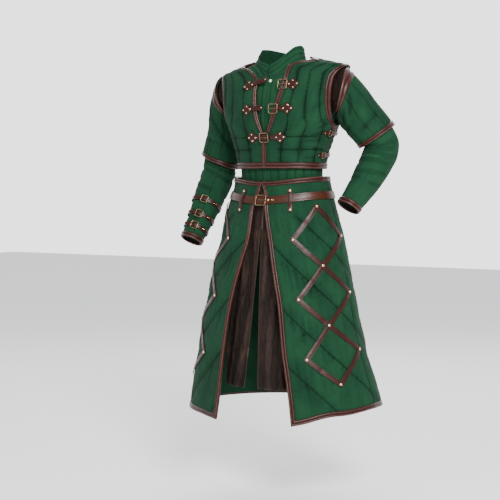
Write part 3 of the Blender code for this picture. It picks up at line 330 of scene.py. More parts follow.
def keep(mesh, label, values, kind="FLOAT"):
    """Stores a number, or a direction, for every point of a mesh."""
    made = mesh.attributes.new(label, kind, "POINT")
    made.data.foreach_set("vector" if kind == "FLOAT_VECTOR" else "value",
                          np.asarray(values, np.float32).ravel())


def fixed(made, slot, *replaced):
    """Attaches a piece to the garment, in the place of nodes of the CAD; its colour slot is not used."""
    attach(made, "root")
    if replaced:
        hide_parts(*replaced)
    return made


def shell(name, grid, wall, relief, shade, material, side=1, held="hung", slot="green_cloth"):
    """A closed cloth wall: a fine face with its relief, and a plain inner side at every fourth point."""
    rows, columns = grid.u.shape
    outer = grid.face + grid.out * relief[..., None]
    inner = (grid.face - grid.out * wall)[::4, ::4]
    low_rows, low_columns = inner.shape[:2]
    first = rows * columns
    faces = quads(rows, columns, 0, grid.ring).tolist()
    faces += quads(low_rows, low_columns, first, grid.ring)[:, ::-1].tolist()
    o = np.arange(first).reshape(rows, columns)
    n = first + np.arange(low_rows * low_columns).reshape(low_rows, low_columns)
    if grid.ring:
        o, n = np.concatenate([o, o[:, :1]], 1), np.concatenate([n, n[:, :1]], 1)
    borders = [(o[0][::-1], n[0][::-1]), (o[-1], n[-1])]
    if not grid.ring:
        borders += [(o[:, 0], n[:, 0]), (o[::-1, -1], n[::-1, -1])]
    for fine, coarse in borders:
        for k in range(len(coarse) - 1):
            faces.append([*fine[4 * k:4 * k + 5], coarse[k + 1], coarse[k]])
    if side < 0:
        faces = [face[::-1] for face in faces]
    made = mesh_object(f"{name}_{'cloth' if material is GREEN else 'hide'}",
                       np.concatenate([outer.reshape(-1, 3), inner.reshape(-1, 3)]), faces, material)
    mesh = made.data
    u, v = (np.concatenate([values.ravel(), values[::4, ::4].ravel()]) for values in (grid.u, grid.v))
    corner = np.zeros(len(mesh.loops), int)
    mesh.loops.foreach_get("vertex_index", corner)
    u, v = u[corner], v[corner]
    if grid.ring:
        # The last cell of a tube closes at its full width, not back at nothing.
        wrap = u[:4 * (rows - 1) * columns].reshape(-1, 4)
        half = grid.width.mean() / 2
        wrap[(wrap < half) & (np.ptp(wrap, 1) > half)[:, None]] += grid.width.mean()
    grain = np.stack([u, v], -1).astype(np.float32)
    mesh.uv_layers.new(name="grain").data.foreach_set("uv", grain.ravel())
    keep(mesh, "shade", np.concatenate([shade.ravel(), np.full(low_rows * low_columns, INNER_SHADE)]))
    fixed(made, slot, name)


def panel(kind, part, *args):
    """A body panel's shell, named after its part: left, right or back."""
    shell(kind + ("_back" if part == "back" else "_front_" + part), *args, -1 if part == "right" else 1)


def channels(distance, puff, reach):
    """How far padded cloth stands up at a distance from its nearest stitched line."""
    return puff * (1 - np.exp(-(distance / reach) ** 1.2))


def creases(grid, table):
    """Soft troughs and ridges, each from one (u, v) to another with its width and depth."""
    total = np.zeros_like(grid.u)
    for u0, v0, u1, v1, width, depth in table:
        du, dv = u1 - u0, v1 - v0
        share = ((grid.u - u0) * du + (grid.v - v0) * dv) / (du * du + dv * dv)
        near = np.clip(share, 0, 1)
        away = np.hypot(grid.u - u0 - near * du, grid.v - v0 - near * dv)
        total += depth * np.exp(-(away / width) ** 2) * np.clip(1 - (2 * near - 1) ** 4, 0, 1)
    return total


def ease(distance, length):
    """0 at a distance of nothing, 1 at a length and beyond."""
    s = np.clip(distance / length, 0, 1)
    return s * s * (3 - 2 * s)


def front_spots(inner, outer, columns, side, form, drop=None, inner_width=None, outer_width=None):
    """Spots of a front panel; its first and last cells are as wide as the edges' leather."""
    spots = []
    for k, (start, end) in enumerate(zip(inner, outer)):
        low, high = np.array([start[0], start[1] * side]), np.array([end[0], end[1] * side])
        way = low + (high - low) * np.linspace(0, 1, 9)[:, None]
        length = np.linalg.norm(np.diff(surface(form, way[:, 0], way[:, 1]), axis=0), axis=1).sum()
        first = (inner_width[k] if inner_width else EDGE) / length
        last = 1 - (outer_width or EDGE) / length
        share = np.concatenate([[0.0], np.linspace(first, last, columns - 1), [1.0]])
        row = low + (high - low) * share[:, None]
        if drop:
            row[:, 0] -= drop(row[:, 0], row[:, 1])
        spots.append(row)
    return np.array(spots)


def back_spots(side_edge, columns, neck_height, neck_columns, mid_drop):
    """Spots of a whole back; its top row is a shoulder seam, the back neck and the other seam."""
    spots = []
    tip = side_edge[-1]
    seam = (columns - neck_columns) // 2
    seam_length = float(np.linalg.norm(surface(torso, tip[0], 90.0) - surface(torso, neck_height, 90.0)))
    armpit = len(side_edge) - 1 - ARMHOLE_STEPS
    for i, (height, turn) in enumerate(side_edge):
        share_up = max(0.0, (i - armpit) / ARMHOLE_STEPS) ** 2
        corner = 180 - turn + BACK_SCOOP * math.sqrt((90 - turn) / 17)
        half = float(np.linalg.norm(surface(torso, height, corner))) * math.radians(180 - corner) * 2
        row = []
        for j in range(columns + 1):
            share = min(max(EDGE / half + (1 - 2 * EDGE / half) * (j - 1) / (columns - 2), 0.0), 1.0)
            at = corner + (360 - 2 * corner) * share
            from_end = min(j, columns - j)
            if from_end <= seam:
                first = EDGE / seam_length
                along = first + (1 - first) * (from_end - 1) / (seam - 1) if from_end else 0.0
                top = (tip[0] + (neck_height - tip[0]) * along, 90.0 if j <= seam else 270.0)
            else:
                neck_share = (j - seam) / neck_columns
                top = (neck_height - mid_drop * math.sin(math.pi * neck_share), 90 + 180 * neck_share)
            level = (tip[0], 90 + 180 * share)
            row.append((height + (top[0] - level[0]) * share_up, at + (top[1] - level[1]) * share_up))
        spots.append(row)
    return np.array(spots)


def noise(tree, place, scale, detail, roughness=0.5, distortion=0.0):
    """Cloudy noise at a place."""
    return add(tree, "ShaderNodeTexNoise", None,
               {"Vector": place, "Scale": scale, "Detail": detail, "Roughness": roughness,
                "Distortion": distortion}).outputs["Fac"]


def ranged(tree, value, from_min=0.0, from_max=1.0, to_min=0.0, to_max=1.0):
    """A value carried from one range to another, and kept inside it."""
    return add(tree, "ShaderNodeMapRange", {"clamp": True},
               {"Value": value, "From Min": from_min, "From Max": from_max, "To Min": to_min,
                "To Max": to_max}).outputs[0]


def mixed(tree, share, low, high, blend="MIX"):
    """Two colours mixed by a share: hex colours or sockets."""
    low, high = (linear(colour) if isinstance(colour, str) else colour for colour in (low, high))
    return add(tree, "ShaderNodeMix", {"data_type": "RGBA", "blend_type": blend},
               {0: share, 6: low, 7: high}).outputs[2]


def weighed(tree, value, weight, plus):
    """A value times its weight, plus another."""
    return add(tree, "ShaderNodeMath", {"operation": "MULTIPLY_ADD"},
               {0: value, 1: weight, 2: plus}).outputs[0]


def scaled(tree, place, scale=(1.0, 1.0, 1.0), start=(0.0, 0.0, 0.0)):
    """A place stretched for noise, and moved so that two cloths differ."""
    return add(tree, "ShaderNodeMapping", None,
               {"Vector": place, "Scale": scale, "Location": start}).outputs[0]


def bumped(tree, height, strength, distance, under=None):
    """A face roughened by a height, over an earlier roughening."""
    inputs = {"Strength": strength, "Distance": distance, "Height": height}
    if under is not None:
        inputs["Normal"] = under
    return add(tree, "ShaderNodeBump", None, inputs).outputs[0]


def cloth_grain(tree):
    """A cloth's own lengths along and across it, in metres."""
    return add(tree, "ShaderNodeUVMap", {"uv_map": "grain"}).outputs[0]


def kept_shade(tree):
    """The shade kept on a piece's points: low down in seams and grooves, high on ridges."""
    return add(tree, "ShaderNodeAttribute", {"attribute_name": "shade"}).outputs["Fac"]


def canvas(name, light, dark, weave_mm, seed):
    """Woven cotton: threads, slubs, long fades; painted shade in stitched lines, painted highlight on
    crowns.
    """
    made, tree = finish(name, roughness=0.88, sheen_weight=0.03, sheen_roughness=0.4,
                        specular_ior_level=0.06)
    grain, shade = cloth_grain(tree), kept_shade(tree)
    place = scaled(tree, grain, start=(seed, seed * 0.7, 0))
    threads = [add(tree, "ShaderNodeTexWave", {"bands_direction": direction, "wave_profile": "SIN"},
                   {"Vector": grain, "Scale": 0.314 / (weave_mm / 1000), "Distortion": 0.6, "Detail": 1.0,
                    "Detail Scale": 3.0}).outputs["Fac"] for direction in ("X", "Y")]
    woven = add(tree, "ShaderNodeMath", {"operation": "MAXIMUM"}, dict(enumerate(threads))).outputs[0]
    streak = noise(tree, scaled(tree, place, (38.0, 5.0, 1.0)), 1.0, 5.0, 0.6)
    cloud = noise(tree, place, 9.0, 4.0, 0.55)
    slubs = noise(tree, scaled(tree, place, (60.0, 420.0, 1.0)), 1.0, 3.0, 0.6)
    # Painted light and shade: the kept shade lightens the crowns and darkens the lines, mixed with the
    # cloth's own slubs, streaks and clouds.
    dye_and_painted_light = weighed(tree, shade, 0.75, weighed(tree, slubs, 0.55, weighed(tree, streak, 1.0, cloud)))
    tint = mixed(tree, ranged(tree, dye_and_painted_light, 0.85, 2.25), dark, light)
    # Painted shade: the colour is darkened further down in stitched lines, creases and seams, where the
    # kept shade is low.
    line = mixed(tree, 1.0, tint, ranged(tree, shade, 0.0, 0.38, 0.20, 1.0), "MULTIPLY")
    rough = bumped(tree, slubs, 0.45, 0.0016, bumped(tree, woven, 0.35, 0.0004))
    set_shader(tree, base_color=line, normal=bumped(tree, cloud, 0.30, 0.006, rough))
    return made


# Plain-woven cotton canvas, dyed bottle green: matt, faintly hairy, with a painted highlight along its
# crowns.
GREEN = canvas("dyed_cotton_canvas", "#1a3f2a", "#05160e", 1.5, 3.1)

torso = form_of(TORSO, TORSO_SQUARENESS, lean=SHOULDER_LEAN)
jacket = {side_name: front_spots(JACKET_FRONT, JACKET_SIDE, 5, side, torso) for side_name, side in SIDES}
jacket["back"] = back_spots(JACKET_SIDE, 12, 0.084, 8, 0.002)
JACKET_STEP = 0.0040    # between the points of its mesh, as for every *_STEP of a cloth
JACKET_CHANNEL = 0.031  # between the jacket's upright stitched lines
FIRST_CHANNEL = 0.016
for part, spots in jacket.items():
    grid = body_panel(torso, spots, JACKET_UNDER, JACKET_STEP, part == "back")
    across = grid.u - grid.width / 2 if part == "back" else grid.u
    # On a front the button stand's line comes first, then the channels.
    nearest = np.round((across - FIRST_CHANNEL) / JACKET_CHANNEL)
    away = np.abs(across - nearest * JACKET_CHANNEL - FIRST_CHANNEL)
    edges = ease(np.minimum(grid.u, grid.width - grid.u), 0.008)
    relief = (channels(away, 0.0018, 0.005) - 0.0008) * edges - 0.0008 * (1 - edges)
    panel("jacket", part, grid, JACKET_WALL, relief, 0.25 + 0.75 * ease(away, 0.005), GREEN)

# ---------------------------------------------------------------------------------------------
# The standing collar: a band of the same canvas on the jacket's neck edge, high at the sides and
# back and open in a V at the front, with a pearl button below it.
# ---------------------------------------------------------------------------------------------
COLLAR_WALL = 0.0035
COLLAR_STEP = 0.0030
COLLAR_SEAM = 0.007     # in from its edge
COLLAR_LIFT = 0.0010
COLLAR_FOOT = (0.0, 0.0, 0.0040)        # how far its foot is sewn down into the jacket's neck edge
COLLAR = [(0.010, 0.096, 0.098, 0.090, 0.0), (0.050, 0.091, 0.091, 0.080, 0.0),
          (0.090, 0.087, 0.085, 0.072, 0.0), (0.130, 0.082, 0.080, 0.066, 0.0)]
# turn, and the collar's upper edge on the left and right at that turn
COLLAR_TOP = [(0, 0.050, 0.052), (15, 0.060, 0.060), (30, 0.080, 0.067), (47, 0.100, 0.074),
              (60, 0.114, 0.083), (75, 0.124, 0.100), (93, 0.121, 0.119), (120, 0.105, 0.117),
              (180, 0.100, 0.100)]
COLLAR_FOLDS = [(0.03, 0.012, 0.09, 0.020, 0.006, -0.0016), (0.10, 0.050, 0.15, 0.020, 0.008, -0.0015),
                (0.30, 0.012, 0.36, 0.030, 0.008, -0.0016), (0.42, 0.020, 0.47, 0.010, 0.006, 0.0014)]
neck_form = form_of(COLLAR)
neck = list(jacket["left"][10:, 0]) + list(jacket["back"][-1, 3:11]) + list(jacket["right"][:9:-1, 0])
levels = []
for share in (0.0, 0.25, 0.6, 1.0):
    row = []
    for height, turn in neck:
        base = moved(torso, height, turn, JACKET_UNDER)
        base = base + unit(np.array([-base[0], -base[1], 0.10])) * COLLAR_LIFT
        away = (turn + 180) % 360 - 180
        turns, left_top, right_top = zip(*COLLAR_TOP)
        edge = np.interp(abs(away), turns, left_top if away > 0 else right_top)
        top = moved(neck_form, height + (edge - height) * share, turn, 0.0)
        row.append(base + (top - base) * min(share * 2.5, 1.0) if share else base - COLLAR_FOOT)
    levels.append(row)
grid = point_grid(levels, COLLAR_STEP)
rim = np.minimum(grid.v, grid.length - grid.v)
seam = np.minimum(rim, np.minimum(grid.u, grid.width - grid.u))
# Stitched inside its edge and once along the middle, and slack below where it folds open.
line = np.minimum(np.abs(seam - COLLAR_SEAM), np.abs(grid.v - grid.length * 0.52))
relief = channels(line, 0.0016, 0.004) - 0.0010
relief += creases(grid, COLLAR_FOLDS)
shell("collar", grid, COLLAR_WALL, relief, 0.25 + 0.75 * ease(line, 0.004), GREEN, held="stretched")

BUTTON = (-0.004, 5.0)  # height and turn


def turned(name, centre, out, profile, material, sides=24):
    """A small round part: a profile of (radius, height) turned about an outward axis, both ends closed."""
    right = unit(np.cross(out, (0.3, 0.2, 0.9)))
    up = np.cross(out, right)
    angle = np.linspace(0, 2 * math.pi, sides, endpoint=False)[:, None]
    rings = [centre + out * height + (right * np.cos(angle) + up * np.sin(angle)) * radius
             for radius, height in profile]
    faces = quads(len(profile), sides, 0, True).tolist()
    faces += [list(range(sides))[::-1], [k + (len(profile) - 1) * sides for k in range(sides)]]
    return mesh_object(name, np.concatenate(rings), faces, material)


# Turned shell: pale, glossy, with a soft cloud of pink and green in it.
PEARL, tree = finish("turned_pearl_shell", roughness=0.18, coat_weight=0.5, ior=1.53)
cloud = noise(tree, add(tree, "ShaderNodeTexCoord").outputs["Object"], 260.0, 2.0)
set_shader(tree, base_color=mixed(tree, cloud, "#c9cdbd", "#efe7e2"))
button = turned("neck_button_pearl", *on(torso, *BUTTON, JACKET_UNDER + 0.0014),
                [(0.0044, 0.0), (0.0055, 0.0010), (0.0056, 0.0022), (0.0050, 0.0031), (0.0036, 0.0033),
                 (0.0030, 0.0026), (0.0008, 0.0025)], PEARL)
fixed(button, "pearl_button", "neck_button")

# ---------------------------------------------------------------------------------------------
# The jacket's sleeves: a long tube each, set into the armhole, bent at the elbow and folded there,
# with a leather binding at the wrist. The left hand is on the hip and the right arm hangs.
# ---------------------------------------------------------------------------------------------
AROUND = 18
CUFF_EDGE = 0.018       # width of the wrist's binding
SLEEVE_STEP = 0.0034
SLEEVE_SEAMS = (0.42, 0.92)     # shares of the way round it
# Rings down an arm: centre, direction, sleeve radius, half sleeve radius, front-to-back share,
# share of the side against the body, and how far front and back are set down the arm.
BARE = (0.0, 1.00, 1.0, 0)      # no half sleeve, and a round section
ARMS = {
    "left": [
        (0.249, -0.009, -0.053, 0.91, 0.33, -0.22, 0.0750, 0.0890, 0.80, 0.76, 0.006),
        (0.268, 0.018, -0.090, 0.66, 0.45, -0.60, 0.0725, 0.0820, 0.885, 0.84, 0.004),
        (0.290, 0.048, -0.130, 0.50, 0.42, -0.76, 0.0665, 0.0765, 1.00, 1.0, 0),
        (0.314, 0.073, -0.166, 0.48, 0.40, -0.78, 0.0645, 0.0745, 1.00, 1.0, 0),
        (0.336, 0.093, -0.201, 0.46, 0.34, -0.82, 0.0640, 0.0735, 1.00, 1.0, 0),
        (0.348, 0.103, -0.230, 0.12, 0.06, -0.99, 0.0635, *BARE),
        (0.348, 0.098, -0.260, -0.12, -0.25, -0.96, 0.0620, *BARE),
        (0.340, 0.083, -0.292, -0.22, -0.42, -0.88, 0.0600, *BARE),
        (0.328, 0.060, -0.332, -0.27, -0.46, -0.85, 0.0570, *BARE),
        (0.315, 0.035, -0.372, -0.27, -0.48, -0.83, 0.0520, *BARE),
        (0.299, 0.008, -0.412, -0.28, -0.50, -0.82, 0.0460, *BARE),
        (0.282, -0.020, -0.452, -0.28, -0.50, -0.82, 0.0405, *BARE),
    ],
    "right": [
        (-0.233, 0.012, -0.058, -0.93, 0.16, -0.31, 0.0740, 0.0875, 0.77, 0.62, 0.002),
        (-0.253, 0.038, -0.110, -0.57, 0.36, -0.74, 0.0710, 0.0815, 0.92, 0.50, 0),
        (-0.272, 0.068, -0.155, -0.25, 0.33, -0.91, 0.0665, 0.0765, 1.00, 0.77, 0),
        (-0.297, 0.082, -0.214, -0.22, 0.08, -0.97, 0.0645, 0.0750, 1.00, 1.0, 0),
        (-0.319, 0.083, -0.285, -0.40, -0.02, -0.90, 0.0640, 0.0740, 1.00, 1.0, 0),
        (-0.323, 0.080, -0.318, -0.22, -0.16, -0.96, 0.0635, *BARE),
        (-0.329, 0.069, -0.355, -0.15, -0.40, -0.90, 0.0630, *BARE),
        (-0.336, 0.050, -0.395, -0.15, -0.45, -0.88, 0.0610, *BARE),
        (-0.343, 0.028, -0.440, -0.15, -0.48, -0.86, 0.0560, *BARE),
        (-0.351, 0.003, -0.490, -0.15, -0.48, -0.86, 0.0500, *BARE),
        (-0.358, -0.022, -0.535, -0.15, -0.48, -0.86, 0.0455, *BARE),
        (-0.366, -0.047, -0.582, -0.16, -0.47, -0.87, 0.0405, *BARE),
    ],
}
FORWARD = {"left": (0.45, -0.89, 0.0), "right": (-0.50, -0.86, 0.0)}
LAST_RING = 11
HEAD = 0.40             # station of the lower edge of the half sleeve's upper binding


def arm_at(side_name, station):
    """Centre, direction, outward and forward axes, and the sizes at a station along an arm."""
    rings = ARMS[side_name]
    low = min(int(station), len(rings) - 2)
    values = np.array(rings[low]) + (np.array(rings[low + 1]) - np.array(rings[low])) * (station - low)
    along = unit(values[3:6])
    forward = unit(np.array(FORWARD[side_name]))
    forward = unit(forward - along * forward.dot(along))
    outward = np.cross(forward, along) * (1 if side_name == "left" else -1)
    return values[:3], along, outward, forward, values[6:]


def arm_ring(side_name, station, lift, around=AROUND):
    """Points round an arm, this far off the jacket's sleeve, from its outer side over its front."""
    centre, along, outward, forward, (radius, _, deep, press, bow) = arm_at(side_name, station)
    angle = np.linspace(0, 2 * math.pi, around, endpoint=False)[:, None]
    out, fore = np.cos(angle), np.sin(angle)
    reach = radius * np.where(out > 0, 1.0, press)
    return (centre + outward * out * (reach + lift) + forward * fore * (radius * deep + lift)
            + along * bow * fore ** 2)


def station_before(side_name, station, length):
    """The station this many metres up the arm from a whole one."""
    low = math.ceil(station) - 1
    a, b = arm_at(side_name, low)[0], arm_at(side_name, low + 1)[0]
    return station - length / np.linalg.norm(b - a)


def armhole_mouth(side_name, side, out, inwards):
    """The jacket's armhole loop, from the shoulder tip down the front and up the back."""
    front = jacket[side_name][::-1, -1][:ARMHOLE_STEPS + 1]
    back = jacket["back"][6:-1, 0 if side > 0 else -1]
    loop = moved(torso, *np.concatenate([front, back]).T, out)
    return loop + unit(loop.mean(0) - loop) * inwards


def sleeve_rings(side_name, side, stations, lifts, mouth_out, mouth_in):
    """Rings of an arm piece, from the armhole's mouth by one halfway ring to its stations."""
    rings = [armhole_mouth(side_name, side, mouth_out, mouth_in)] if mouth_out is not None else []
    rings += [arm_ring(side_name, station, lift) for station, lift in zip(stations, lifts)]
    if mouth_out is not None:
        rings.insert(1, (rings[0] + rings[1]) / 2)
    return rings


# Folds in (share round the arm from its outer side over its front, metres down the arm) pairs.
# The inside of a bent elbow is gathered, and the forearm is slack above its cuff.
SLEEVE_FOLDS = {
    "left": [(0.05, .268, 0.34, .300, .0090, -.0050), (0.10, .292, 0.46, .330, .0085, -.0055),
             (0.16, .322, 0.52, .352, .0080, -.0050), (0.04, .306, 0.28, .352, .0090, -.0040),
             (0.28, .276, 0.62, .296, .0085, -.0050), (0.12, .350, 0.44, .376, .0080, -.0040),
             (0.30, .362, 0.60, .392, .0080, -.0035), (0.06, .384, 0.32, .410, .0085, -.0035),
             (0.58, .270, 0.88, .310, .0100, -.0035), (0.64, .312, 0.94, .345, .0090, -.0035),
             (0.20, .405, 0.48, .425, .0075, -.0030), (0.05, .430, 0.24, .448, .0075, -.0028),
             (0.60, .380, 0.85, .410, .0085, -.0030), (0.32, .440, 0.58, .460, .0070, -.0028),
             (0.12, .280, 0.40, .312, .0075, .0035), (0.18, .336, 0.46, .362, .0075, .0035)],
    "right": [(0.10, .300, 0.44, .318, .0085, -.0042), (0.20, .325, 0.58, .345, .0085, -.0048),
              (0.06, .350, 0.40, .366, .0080, -.0040), (0.30, .372, 0.66, .392, .0080, -.0042),
              (0.02, .392, 0.30, .414, .0085, -.0034), (0.55, .312, 0.90, .338, .0095, -.0036),
              (0.62, .362, 0.95, .388, .0090, -.0034), (0.16, .430, 0.46, .446, .0075, -.0030),
              (0.52, .430, 0.84, .452, .0080, -.0028), (0.22, .302, 0.48, .332, .0075, .0030),
              (0.10, .480, 0.40, .492, .0070, -.0024), (0.14, .560, 0.44, .570, .0065, -.0022)],
}


def loft(name, rings, material, closed=False, shade=0.5):
    """A solid through rings of points: a strip, tube or frame; its ends are closed unless it's a ring."""
    rings = np.asarray(rings, float)
    count, around = rings.shape[:2]
    first = np.arange(count if closed else count - 1)[:, None] * around
    a, b = first + np.arange(around), first + (np.arange(around) + 1) % around
    total = count * around
    faces = np.stack([a, b, (b + around) % total, (a + around) % total], -1).reshape(-1, 4)
    points = rings.reshape(-1, 3)
    p = points[faces] - points.mean(0)
    volume = (np.einsum("ij,ij->i", p[:, 0], np.cross(p[:, 1], p[:, 2]))
              + np.einsum("ij,ij->i", p[:, 0], np.cross(p[:, 2], p[:, 3]))).sum()
    faces = faces.tolist()
    if not closed:
        faces += [list(range(around))[::-1], [k + (count - 1) * around for k in range(around)]]
    if volume < 0:
        faces = [face[::-1] for face in faces]
    made = mesh_object(name, points, faces, material)
    keep(made.data, "shade", np.broadcast_to(shade, (count, around)))
    return made


def hide(name, body, highlight_and_scuff, dark, roughness, grain_mm, coat):
    """Dressed leather: pebbled grain, cloudy dye, painted highlight and pale scuffs on ridges, painted
    shade in grooves.
    """
    made, tree = finish(name, specular_ior_level=0.24, coat_weight=coat, coat_roughness=0.3)
    place = add(tree, "ShaderNodeTexCoord").outputs["Object"]
    shade = kept_shade(tree)
    pebble = add(tree, "ShaderNodeTexVoronoi", {"feature": "SMOOTH_F1"},
                 {"Vector": place, "Scale": 1000 / grain_mm, "Smoothness": 0.6}).outputs["Distance"]
    cloud = noise(tree, place, 28.0, 6.0, 0.65)
    # Painted highlight: the paler ridge colour goes where the kept shade is high, on ridges and rounded
    # edges, broken up by random scuffs.
    scuff_and_highlight = weighed(tree, noise(tree, place, 240.0, 3.0), 0.5, shade)
    scuffed_and_highlit = mixed(tree, ranged(tree, scuff_and_highlight, 1.05, 1.50, 0.0, 0.9), mixed(tree, cloud, dark, body), highlight_and_scuff)
    # Painted shade: the colour is darkened where the kept shade is low, in grooves, creases and under
    # edges.
    deep = mixed(tree, 1.0, scuffed_and_highlit, ranged(tree, shade, 0.0, 0.45, 0.45, 1.0), "MULTIPLY")
    gloss = ranged(tree, cloud, 0.3, 0.7, roughness + 0.10, roughness - 0.08)
    set_shader(tree, base_color=deep, roughness=gloss,
               normal=bumped(tree, cloud, 0.30, 0.0015, bumped(tree, pebble, 0.35, 0.0004)))
    return made


# Thin dressed cowhide, dark red-brown: semi-gloss, with a painted highlight and pale scuffs on its ridges.
BROWN = hide("dressed_brown_cowhide", "#38140f", "#644036", "#1c0906", 0.38, 1.3, 0.0)

# An edge binding's section: share of its width in from the edge, height off the cloth's face in
# metres (below -1 it counts the cloth's wall too), and shade. It is folded over the edge in a roll,
# sewn down a groove, and swells again before its inner edge.
EDGE_PROFILE = [(0.50, -1.0008, 0.3), (0.25, -1.0012, 0.3), (0.04, -1.0010, 0.35), (-0.10, -0.5, 0.45),
                (-0.13, 0.0004, 0.60), (-0.08, 0.0022, 0.90), (0.04, 0.0036, 1.00), (0.16, 0.0040, 0.95),
                (0.28, 0.0034, 0.60), (0.37, 0.0020, 0.20), (0.43, 0.0013, 0.00), (0.49, 0.0020, 0.20),
                (0.58, 0.0031, 0.70), (0.70, 0.0036, 1.00), (0.82, 0.0032, 0.75), (0.93, 0.0020, 0.35),
                (1.00, 0.0006, 0.05), (1.00, -0.0010, 0.0), (0.50, -0.0012, 0.0)]


GROOVE = 0.43           # share of the binding's width in from the edge, where it is sewn
BINDING_STEP = 0.004
STITCH_STEP = 0.0052
stitches = []           # (place, outward direction, direction along the seam, size)


def bound(name, edge, inner, out, wall, closed=False, breaks=(), stretch=1.0):
    """Leather folded over a cloth's edge, along (edge, inner) points; breaks are its mitred corners."""
    pairs = np.concatenate([edge, inner, out], 1)
    pieces = []
    stops = [0, *breaks, len(pairs) - 1]
    for low, high in zip(stops, stops[1:]) if not closed else [(0, len(pairs))]:
        run = pairs[low:high + 1]
        knots = knots_of(run[:, None, :3], 0, False)
        if closed:
            last = np.linalg.norm(run[0, :3] - run[-1, :3])
            knots = np.append(knots, knots[-1] + last)
        places = spaced(knots, BINDING_STEP)
        pieces.append(curve(run, knots, places[:-1] if closed or high != stops[-1] else places, closed))
    pairs = np.concatenate(pieces)
    edge, inner, out = pairs[:, :3], pairs[:, 3:6], unit(pairs[:, 6:9])
    rings = []
    for share, height, _ in EDGE_PROFILE:
        lift = -wall + height + 1 if height < -1 else (height if height > -0.4 else height * wall)
        rings.append(edge + (inner - edge) * share * stretch + out * lift)
    made = loft(name + "_leather", np.stack(rings, 1), BROWN, closed, [row[2] for row in EDGE_PROFILE])
    fixed(made, "brown_leather", name)
    # A stitch every few millimetres down the groove, for the sewing section.
    groove = edge + (inner - edge) * GROOVE * stretch + out * 0.0017
    knots = knots_of(groove[:, None], 0, False)
    along = np.gradient(groove, axis=0)
    lined = curve(np.concatenate([groove, out, along], 1), knots, spaced(knots, STITCH_STEP), False)
    stitches.extend((row[:3], unit(row[3:6]), unit(row[6:9]), 1.0) for row in lined[1:-1])


def arm_folds(grid, table, round_arm, width=1.0, depth=1.0):
    """Creases whose places round an arm are shares; round_arm is the arm's girth, about, in metres."""
    table = [(a * round_arm, b, c * round_arm, d, e * width, f * depth) for a, b, c, d, e, f in table]
    return creases(SimpleNamespace(u=grid.u / grid.width * round_arm, v=grid.v), table)


for side_name, side in SIDES:
    cuff = station_before(side_name, LAST_RING, CUFF_EDGE)
    stations = [0, HEAD, *range(1, LAST_RING), cuff, LAST_RING]
    rings = sleeve_rings(side_name, side, stations, [0.0] * len(stations), JACKET_UNDER - JACKET_WALL / 2,
                         0.0028)
    grid = point_grid(rings, SLEEVE_STEP, True, side)
    width = grid.width
    folds = arm_folds(grid, SLEEVE_FOLDS[side_name], 0.38, 0.85, 1.5)
    seam_away = np.min([np.abs(grid.u - width * share) for share in SLEEVE_SEAMS], 0)
    soft = ease(grid.v, 0.03) * ease(grid.length - CUFF_EDGE - grid.v, 0.02)
    relief = folds * soft + (channels(seam_away, 0.0010, 0.004) - 0.0008) * soft - 0.0002
    shade = np.clip(0.72 + folds / 0.007 + 0.1, 0.22, 1.0) * (0.35 + 0.65 * ease(seam_away, 0.003))
    shell("jacket_sleeve_" + side_name, grid, JACKET_WALL, relief, shade, GREEN, side)
    edge, inner = arm_ring(side_name, LAST_RING, 0.0), arm_ring(side_name, cuff, 0.0)
    bound("cuff_binding_" + side_name, edge, inner, edge - arm_at(side_name, LAST_RING)[0], JACKET_WALL,
          True)

# ---------------------------------------------------------------------------------------------
# The cropped vest: two fronts and a back of canvas over thick wadding, quilted in channels that
# fan out from the shoulder and are crossed at the belly, then bound in leather at every edge.
# ---------------------------------------------------------------------------------------------
VEST_WALL = 0.0070
VEST_ARMHOLE = [(-0.165, 90.0), (-0.152, 83.5), (-0.125, 79.0), (-0.095, 76.5), (-0.062, 75.3),
                (-0.030, 75.8), (-0.002, 77.5), (0.017, 80.5), (0.029, 85.0), (0.035, 90.0)]
VEST_SIDE = [(height, 90.0) for height in (-0.315, -0.295, -0.255, -0.215, -0.185)] + VEST_ARMHOLE
# height, turn, and width of the leather along each front edge, from the hem to the shoulder seam
VEST_FRONTS = {
    "left": [(-0.313, 0.3, .011), (-0.293, 0.3, .011), (-0.255, 0.3, .011), (-0.215, 1.0, .011),
             (-0.195, 5.0, .014), (-0.168, 9.5, .018), (-0.138, 13.8, EDGE), (-0.108, 17.4, EDGE),
             (-0.072, 21.4, EDGE), (-0.036, 25.7, EDGE), (-0.002, 30.0, EDGE), (0.046, 38.0, EDGE),
             (0.053, 55.0, EDGE), (0.061, 72.0, EDGE), (0.075, 90.0, EDGE)],
    "right": [(-0.313, 0.3, .011), (-0.293, 0.3, .011), (-0.255, 0.3, .011), (-0.215, 0.3, .011),
              (-0.195, 0.6, .012), (-0.172, 2.7, .017), (-0.145, 6.2, EDGE), (-0.112, 9.8, EDGE),
              (-0.078, 12.3, EDGE), (-0.042, 14.0, EDGE), (-0.006, 15.0, EDGE), (0.012, 23.0, EDGE),
              (0.034, 40.0, EDGE), (0.055, 62.0, EDGE), (0.075, 90.0, EDGE)],
}
NECK_CORNER = {"left": 11, "right": 10}     # the row at the corner between front edge and neck
# Shares of a panel's width where its fanning lines run: on a front, and on the back.
QUILT_SHARES = (0.265, 0.53, 0.79), (0.08, 0.19, 0.295, 0.40, 0.50, 0.60, 0.705, 0.81, 0.92)
BELLY_LINES = (-0.206, -0.250)              # heights of the crossing lines
VEST_PUFF = 0.0034       # how far the wadding stands up between the lines
VEST_STEP = 0.0030
